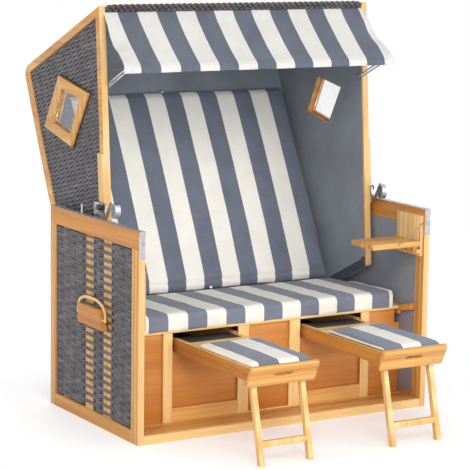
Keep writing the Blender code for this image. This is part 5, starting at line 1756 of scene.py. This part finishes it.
@dataclass
class SunFlap:
    """Striped sun flap with its arms and front bar."""

    line: tuple[Flat, ...] = ((0.0500, 1.5395), (0.0240, 1.5075), (-0.0030, 1.4815), (-0.0305, 1.4555),
                              (-0.0580, 1.4295), (-0.0860, 1.4035), (-0.1140, 1.3780), (-0.1410, 1.3530),
                              (-0.1440, 1.3290))
    half: float = 0.5755
    flare: float = 0.0200
    thickness: float = 0.0016
    columns: int = 260
    rows: int = 64
    sag: float = 0.006
    edge_from: float = 0.86
    edge_fold: float = 0.010
    ripple: float = 0.0016
    seam: tuple[float, float, float] = (0.0012, 0.865, 0.012)
    pucker: tuple[float, float, float] = (0.0007, 0.88, 0.05)
    wrap: tuple[float, float, float] = (0.010, 0.555, 0.012)
    wrap_rows: Flat = (0.70, 0.2)
    drape: float = 0.004
    flat_length: float = 0.305
    bend: tuple[Point, Point] = ((0.0, 0.030, 1.515), (0.0, -0.115, 1.36))

    def along(self, share: float) -> tuple[Vector, Vector]:
        """Return a place on the flap's profile and its outward direction.

        Args:
            share: Share of the way from the top edge to the hem.

        Returns:
            The place in Y and Z, and the outward direction.
        """
        last = len(self.line) - 1
        spot = share * last
        index = min(int(spot), last - 1)
        local = spot - index

        def corner(number: int) -> Vector:
            """Return a point of the profile, held at its ends."""
            return Vector(self.line[max(0, min(last, number))])
        a, b, c, d = (corner(index + step) for step in (-1, 0, 1, 2))
        place = 0.5 * ((2 * b) + (c - a) * local + (2 * a - 5 * b + 4 * c - d) * local ** 2
                       + (3 * b - a - 3 * c + d) * local ** 3)
        way = ((c - a) * (1 - local) + (d - b) * local).normalized()
        return place, Vector((way.y, -way.x))

    def cloth(self) -> None:
        """Hang the striped cloth with its hem, seam and end folds."""
        places = []
        for row in range(self.rows + 1):
            down = row / self.rows
            spot, out = self.along(down)
            for column in range(self.columns + 1):
                spread = 2 * column / self.columns - 1
                x = spread * (self.half + self.flare * down)
                lift = self.lift(x, spread, down)
                places.append((x, spot.x + out.x * lift, spot.y + out.y * lift))
        width = self.columns + 1
        faces = []
        for row in range(self.rows):
            for column in range(self.columns):
                start = row * width + column
                faces.append((start, start + 1, start + width + 1, start + width))
        item = temporary("flap_work", mesh_of("flap_work", places, faces))
        wall = item.modifiers.new("cloth", "SOLIDIFY")
        wall.thickness = self.thickness
        wall.offset = 0.0
        mesh = shade_smooth(evaluated(item))
        # The flap's copy of the striped cloth is darker than the seat's: painted shade against the strong light on
        # the flap.
        stripes = StripedCloth("flap_stripes", -0.0225, 0.1655, cream=(0.71, 0.695, 0.655),
                               blue=(0.108, 0.121, 0.158))
        item = add_piece("sun_flap_cloth", mesh, "", stripes, ("awning_cloth",))
        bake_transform(item)

    def lift(self, x: float, spread: float, down: float) -> float:
        """Work out how far the cloth stands off its straight profile.

        Args:
            x: Place across the chair.
            spread: Share of the way from the middle to a side, from -1 to 1.
            down: Share of the way from the top edge to the hem.

        Returns:
            The distance along the outward direction.
        """
        ease = math.sin(math.pi * min(down * 1.02, 1.0))
        edge = max(abs(spread) - self.edge_from, 0.0) / (1 - self.edge_from)
        sag = -self.sag * ease * (1 - spread * spread)
        fold = self.edge_fold * edge * math.sin(down * 9.0 + 1.0) * ease
        ripple = self.ripple * noise.noise(Vector((x * 7.0, down * 3.0, 0.3))) * ease
        depth, row, width = self.seam
        seam = -depth * math.exp(-((down - row) / width) ** 2)
        depth, row, width = self.pucker
        pucker = depth * math.sin(x * 210.0) * math.exp(-((down - row) / width) ** 2)
        depth, start, width = self.wrap
        from_row, rows = self.wrap_rows
        wrap = (depth * min(max((abs(x) - start) / width, 0.0), 1.0)
                * min(max((down - from_row) / rows, 0.0), 1.0))
        drape = self.drape * edge * noise.noise(Vector((x * 16.0, down * 7.0, 2.0))) * ease
        return sag + fold + ripple + seam + pucker + wrap + drape

    def build(self) -> None:
        """Build the sun flap."""
        self.cloth()
        dress("awning_bow", Metal("pale_alloy", (0.74, 0.74, 0.75), 0.34))


def joined(name: str, meshes: Sequence[bpy.types.Mesh]) -> bpy.types.Mesh:
    """Return several meshes as one.

    Args:
        name: Name of the new mesh.
        meshes: The meshes.

    Returns:
        The mesh.
    """
    work = bmesh.new()
    for mesh in meshes:
        work.from_mesh(mesh)
    bmesh.ops.recalc_face_normals(work, faces=work.faces)
    whole = bpy.data.meshes.new(name)
    work.to_mesh(whole)
    work.free()
    return whole


def ring_of(middle: Flat, radius: float, corners: int = 40, turn: float = 0.0) -> list[Flat]:
    """Return a regular outline round a middle."""
    angles = [turn + math.tau * step / corners for step in range(corners)]
    return [(middle[0] + radius * math.cos(angle), middle[1] + radius * math.sin(angle)) for angle in angles]


@dataclass
class SideFittings:
    """Trays, chains, grips, bails and hood locks."""

    joinery: Joinery
    tray_board_top: float = 0.758
    grip: tuple[Flat, ...] = ((0.090, 0.380), (0.090, 0.452), (-0.083, 0.452), (-0.115, 0.380))
    grip_face: tuple[float, float] = (0.6375, 0.6590)
    bail_ends: Flat = (-0.121, 0.104)
    bail_heights: Flat = (0.417, 0.485)
    bail_band: Flat = (0.0100, 0.0045)
    bail_middle: float = 0.650
    pivot: Flat = (0.015, 0.812)
    ring: Flat = (-0.095, 0.821)
    ring_radii: Flat = (0.0205, 0.0285)
    ring_wall: float = 0.0035
    ring_reach: Flat = (0.5848, 0.6058)
    disc_faces: Flat = (0.006, 0.0025)
    disc_gap: float = 0.0006
    plate: tuple[Flat, ...] = ((-0.022, 0.768), (-0.018, 0.764), (0.066, 0.764), (0.070, 0.768), (0.070, 0.832),
                               (0.066, 0.836), (-0.014, 0.836), (-0.022, 0.828))
    plate_faces: Flat = (0.5953, 0.6013)
    bolt: tuple[float, float, float] = (0.0034, 0.6008, 0.6120)
    pivot_nut: tuple[float, float, float] = (0.0085, 0.6062, 0.6125)
    nuts: tuple[tuple[Flat, float, float], ...] = (((0.040, 0.795), 0.0080, 0.6080), ((0.052, 0.816), 0.0070, 0.6075),
                                                   ((0.002, 0.781), 0.0075, 0.6085))
    nut_from: float = 0.6010
    nut_turn: float = 0.3
    stud_share: float = 0.45
    stud_past: float = 0.004
    knob_offset: Flat = (-0.010, 0.011)
    knob_radius: float = 0.0110
    knob_faces: Flat = (0.6062, 0.6200)
    bar_faces: Flat = (0.6028, 0.6056)
    bar_hole: float = 0.0040
    bail_power: float = 0.755
    bail_steps: int = 30
    bail_pin: float = 0.0030
    bail_pin_stops: Flat = (-0.098, 0.088)
    board_from: float = 0.70
    board_height: float = 0.082
    board_span: tuple[float, float, float] = (-0.350, -0.193, -0.308)
    tray_span: tuple[float, float, float, float] = (-0.353, -0.203, -0.286, -0.216)
    tray_tuck: tuple[float, float, float] = (0.013, -0.590, 0.012)
    chain_shift: Flat = (-0.0220, 0.0640)
    lever: tuple[Flat, ...] = ((0.022, 0.818), (0.024, 0.805), (-0.030, 0.776), (-0.040, 0.779), (-0.082, 0.842),
                               (-0.075, 0.851), (-0.066, 0.850), (-0.029, 0.792), (0.010, 0.821))

    def trays(self, name: str) -> None:
        """Dress one side's backing board, tray and chain.

        Args:
            name: Side's name.
        """
        tucked = name == "left"

        def board(place: Vector) -> Vector:
            """Fit the backing board to its place.

            Args:
                place: A corner of the board.

            Returns:
                The moved corner.
            """
            height, low = place.z, self.board_from
            if height >= low:
                height = low + (height - low) * (self.tray_board_top - low) / self.board_height
            depth = self.narrower(place.y, *self.board_span) if tucked else place.y
            return Vector((place.x, depth, height))

        def folded(place: Vector) -> Vector:
            """Set the folded tray close to the wall."""
            shift, start, reach = self.tray_tuck
            outward = place.x - shift * min(max((place.x - start) / reach, 0.0), 1.0)
            return Vector((outward, self.narrower(place.y, *self.tray_span), place.z))

        def behind(place: Vector) -> Vector:
            """Move the folded tray's chain behind it."""
            return Vector((place.x + self.chain_shift[0], place.y + self.chain_shift[1], place.z))
        self.joinery.remake(f"tray_board_{name}", "basket", [Member(Wood.PALE(Grain.UPRIGHT, 0.3))],
                            slot="honey_wood", reshape=board)
        self.joinery.remake(f"tray_{name}", f"side_tray_{name}", [Member(Wood.HONEY(Grain.ACROSS, 0.2))],
                            slot="pale_wood", reshape=folded if tucked else None)
        if tucked:
            work = bmesh.new()
            work.from_mesh(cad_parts[f"tray_chain_{name}"].data)
            for vertex in work.verts:
                vertex.co = behind(vertex.co)
            mesh = bpy.data.meshes.new("tray_chain")
            work.to_mesh(mesh)
            work.free()
            add_piece(f"tray_chain_{name}_dressed", shade_smooth(mesh, 60), f"side_tray_{name}", CHAIN,
                      (f"tray_chain_{name}",))
        else:
            dress(f"tray_chain_{name}", CHAIN)

    def narrower(self, value: float, first: float, last: float, start: float, stop: float | None = None) -> float:
        """Move a place between two ends so that it lies in the same way between two others."""
        share = (value - first) / (last - first)
        return start + ((last if stop is None else stop) - start) * share

    def grip_and_bail(self, name: str, side: float) -> None:
        """Make the grip block with its slanted front end and the flat bail over it.

        Args:
            name: Side's name.
            side: Side's sign.
        """
        block = slab("grip", self.grip, *on_side(side, *self.grip_face))
        self.fitted(f"grip_block_{name}", "basket", Wood.DEEP(Grain.DEPTH, 0.9), [block], 0.003)
        low, top = self.bail_heights
        middle = sum(self.bail_ends) / 2
        wide, thick = self.bail_band
        half = (self.bail_ends[1] - self.bail_ends[0]) / 2

        def arch(reach: float, rise: float) -> list[Flat]:
            """Draw one edge of the bail.

            Args:
                reach: Half of its width.
                rise: Its height over the pins.

            Returns:
                The points.
            """
            places = [(middle - reach, low - wide / 2)]
            for step in range(self.bail_steps + 1):
                angle = math.pi * step / self.bail_steps
                swing = math.copysign(abs(math.cos(angle)) ** self.bail_power, math.cos(angle))
                places.append((middle - reach * swing, low + rise * abs(math.sin(angle)) ** self.bail_power))
            return places + [(middle + reach, low - wide / 2)]
        rise = top - low
        outline = arch(half + wide / 2, rise + wide / 2) + arch(half - wide / 2, rise - wide / 2)[::-1]
        band = slab("bail", outline, *on_side(side, self.bail_middle - thick / 2, self.bail_middle + thick / 2))
        near_stop, far_start = self.bail_pin_stops
        pins = [slab("bail_pin", ring_of((side * self.bail_middle, low), self.bail_pin, 16), start, stop, 1)
                for start, stop in ((self.bail_ends[0], near_stop), (far_start, self.bail_ends[1]))]
        self.fitted(f"bail_{name}", f"carry_bail_{name}", Wood.PALE(Grain.DEPTH, 0.5), [band, *pins], 0.0006)

    def fitted(self, node: str, body: str, finish: Finish, parts: Sequence[bpy.types.Mesh], ease: float) -> None:
        """Add a fitting that takes a CAD node's place."""
        piece = add_piece(node + "_dressed", self.joinery.eased(joined(node, parts), ease), body, finish, (node,))

    def clamp(self, name: str, side: float) -> None:
        """Make the hood lock: plate with nuts, dark knob and the lever with its ring.

        Args:
            name: Side's name.
            side: Side's sign.
        """
        radius, start, stop = self.bolt
        parts = [slab("lock_plate", self.plate, *on_side(side, *self.plate_faces)),
                 slab("lock_bolt", ring_of(self.pivot, radius, 20), *on_side(side, start, stop))]
        size, start, stop = self.pivot_nut
        nuts = [(self.pivot, size, start, stop)]
        nuts += [(place, size, self.nut_from, stop) for place, size, stop in self.nuts]
        for place, size, start, stop in nuts:
            parts.append(slab("lock_nut", ring_of(place, size, 6, self.nut_turn), *on_side(side, start, stop)))
            parts.append(slab("lock_stud", ring_of(place, size * self.stud_share, 14),
                              *on_side(side, start, stop + self.stud_past)))
        self.fitted(f"lock_bracket_{name}", "hood", STEEL, parts, 0.0005)
        middle = (self.pivot[0] + self.knob_offset[0], self.pivot[1] + self.knob_offset[1])
        knob = joined("lock_knob", [slab("lock_knob", ring_of(middle, self.knob_radius, 28),
                                         *on_side(side, *self.knob_faces))])
        knob.materials.append(BLACK.material())
        add_piece(f"lock_knob_{name}", self.joinery.eased(knob, 0.0025), "hood")
        bar = slab("lock_bar", self.lever, *on_side(side, *self.bar_faces), 0,
                   [ring_of(self.pivot, self.bar_hole, 20)])
        add_piece(f"lock_strap_{name}", self.joinery.eased(bar, 0.0006), f"lock_arm_{name}", STRAP)
        loop = slab("lock_loop", self.oval(0.0), *on_side(side, *self.ring_reach), 0, [self.oval(self.ring_wall)])
        self.fitted(f"lock_lever_{name}", f"lock_arm_{name}", STEEL, [loop], 0.0007)
        outside = self.ring_reach[1]
        disc = slab("lock_disc", self.oval(self.ring_wall - self.disc_gap),
                    *on_side(side, outside - self.disc_faces[0], outside - self.disc_faces[1]))
        add_piece(f"lock_ring_inside_{name}", disc, f"lock_arm_{name}", LINING)

    def oval(self, inset: float) -> list[Flat]:
        """Draw the outline of the lever's ring.

        Args:
            inset: How far it is drawn in.

        Returns:
            The outline.
        """
        wide, tall = self.ring_radii
        angles = [math.tau * step / 44 for step in range(44)]
        return [(self.ring[0] + (wide - inset) * math.cos(angle), self.ring[1] + (tall - inset) * math.sin(angle))
                for angle in angles]

    def build(self) -> None:
        """Dress the fittings."""
        for name, side in SIDES:
            self.trays(name)
            self.grip_and_bail(name, side)
            self.clamp(name, side)


@dataclass
class Footrests:
    """Wooden pieces of the two footrests."""

    joinery: Joinery
    deck_top: float = 0.3458
    shade_from: float = -0.300
    middle: float = 0.2805
    shade_half: float = 0.112

    def is_deck(self, place: Vector) -> bool:
        """Say whether a face of a frame lies on its upper side."""
        return place.z > self.deck_top

    def in_painted_shade(self, place: Vector) -> bool:
        """Say whether a face lies on the rear of a deck, which is painted black as shade."""
        beside = abs(abs(place.x) - self.middle)
        return self.is_deck(place) and place.y > self.shade_from and beside < self.shade_half

    def build(self) -> None:
        """Dress the footrests."""
        # The rear of each deck, inside the dark bay, takes the black finish as painted shade.
        members = [Member(BLACK, test=self.in_painted_shade), Member(Wood.PALE(Grain.ACROSS, 0.7), test=self.is_deck),
                   Member(Wood.DEEP(Grain.DEPTH, 0.7))]
        for name, side in SIDES:
            body = f"footrest_slide_{name}"
            cuts = [((0.0, self.shade_from, 0.0), (0.0, 1.0, 0.0))]
            cuts += [((side * self.middle + way * self.shade_half, 0.0, 0.0), (1.0, 0.0, 0.0)) for way in (-1, 1)]
            self.joinery.remake(f"footrest_frame_{name}", body, members, cuts, slot="honey_wood")
            self.joinery.remake(f"footrest_board_{name}", body, [Member(Wood.HONEY(Grain.ACROSS, 0.3))])
            self.joinery.remake(f"footrest_legs_{name}", f"leg_frame_{name}",
                                [Member(Wood.PALE(Grain.UPRIGHT, 0.6))])


def main() -> None:
    """Build the whole chair in order."""
    logging.basicConfig(level=logging.INFO, format="%(name)s: %(message)s")
    Studio().build()
    weaver = Weaver(StrandTree())
    joinery = Joinery()
    LowerBasket(weaver, joinery).build()
    Hood(weaver, joinery).build()
    Upholstery().build()
    SunFlap().build()
    SideFittings(joinery).build()
    Footrests(joinery).build()


if __name__ == "__main__":
    main()
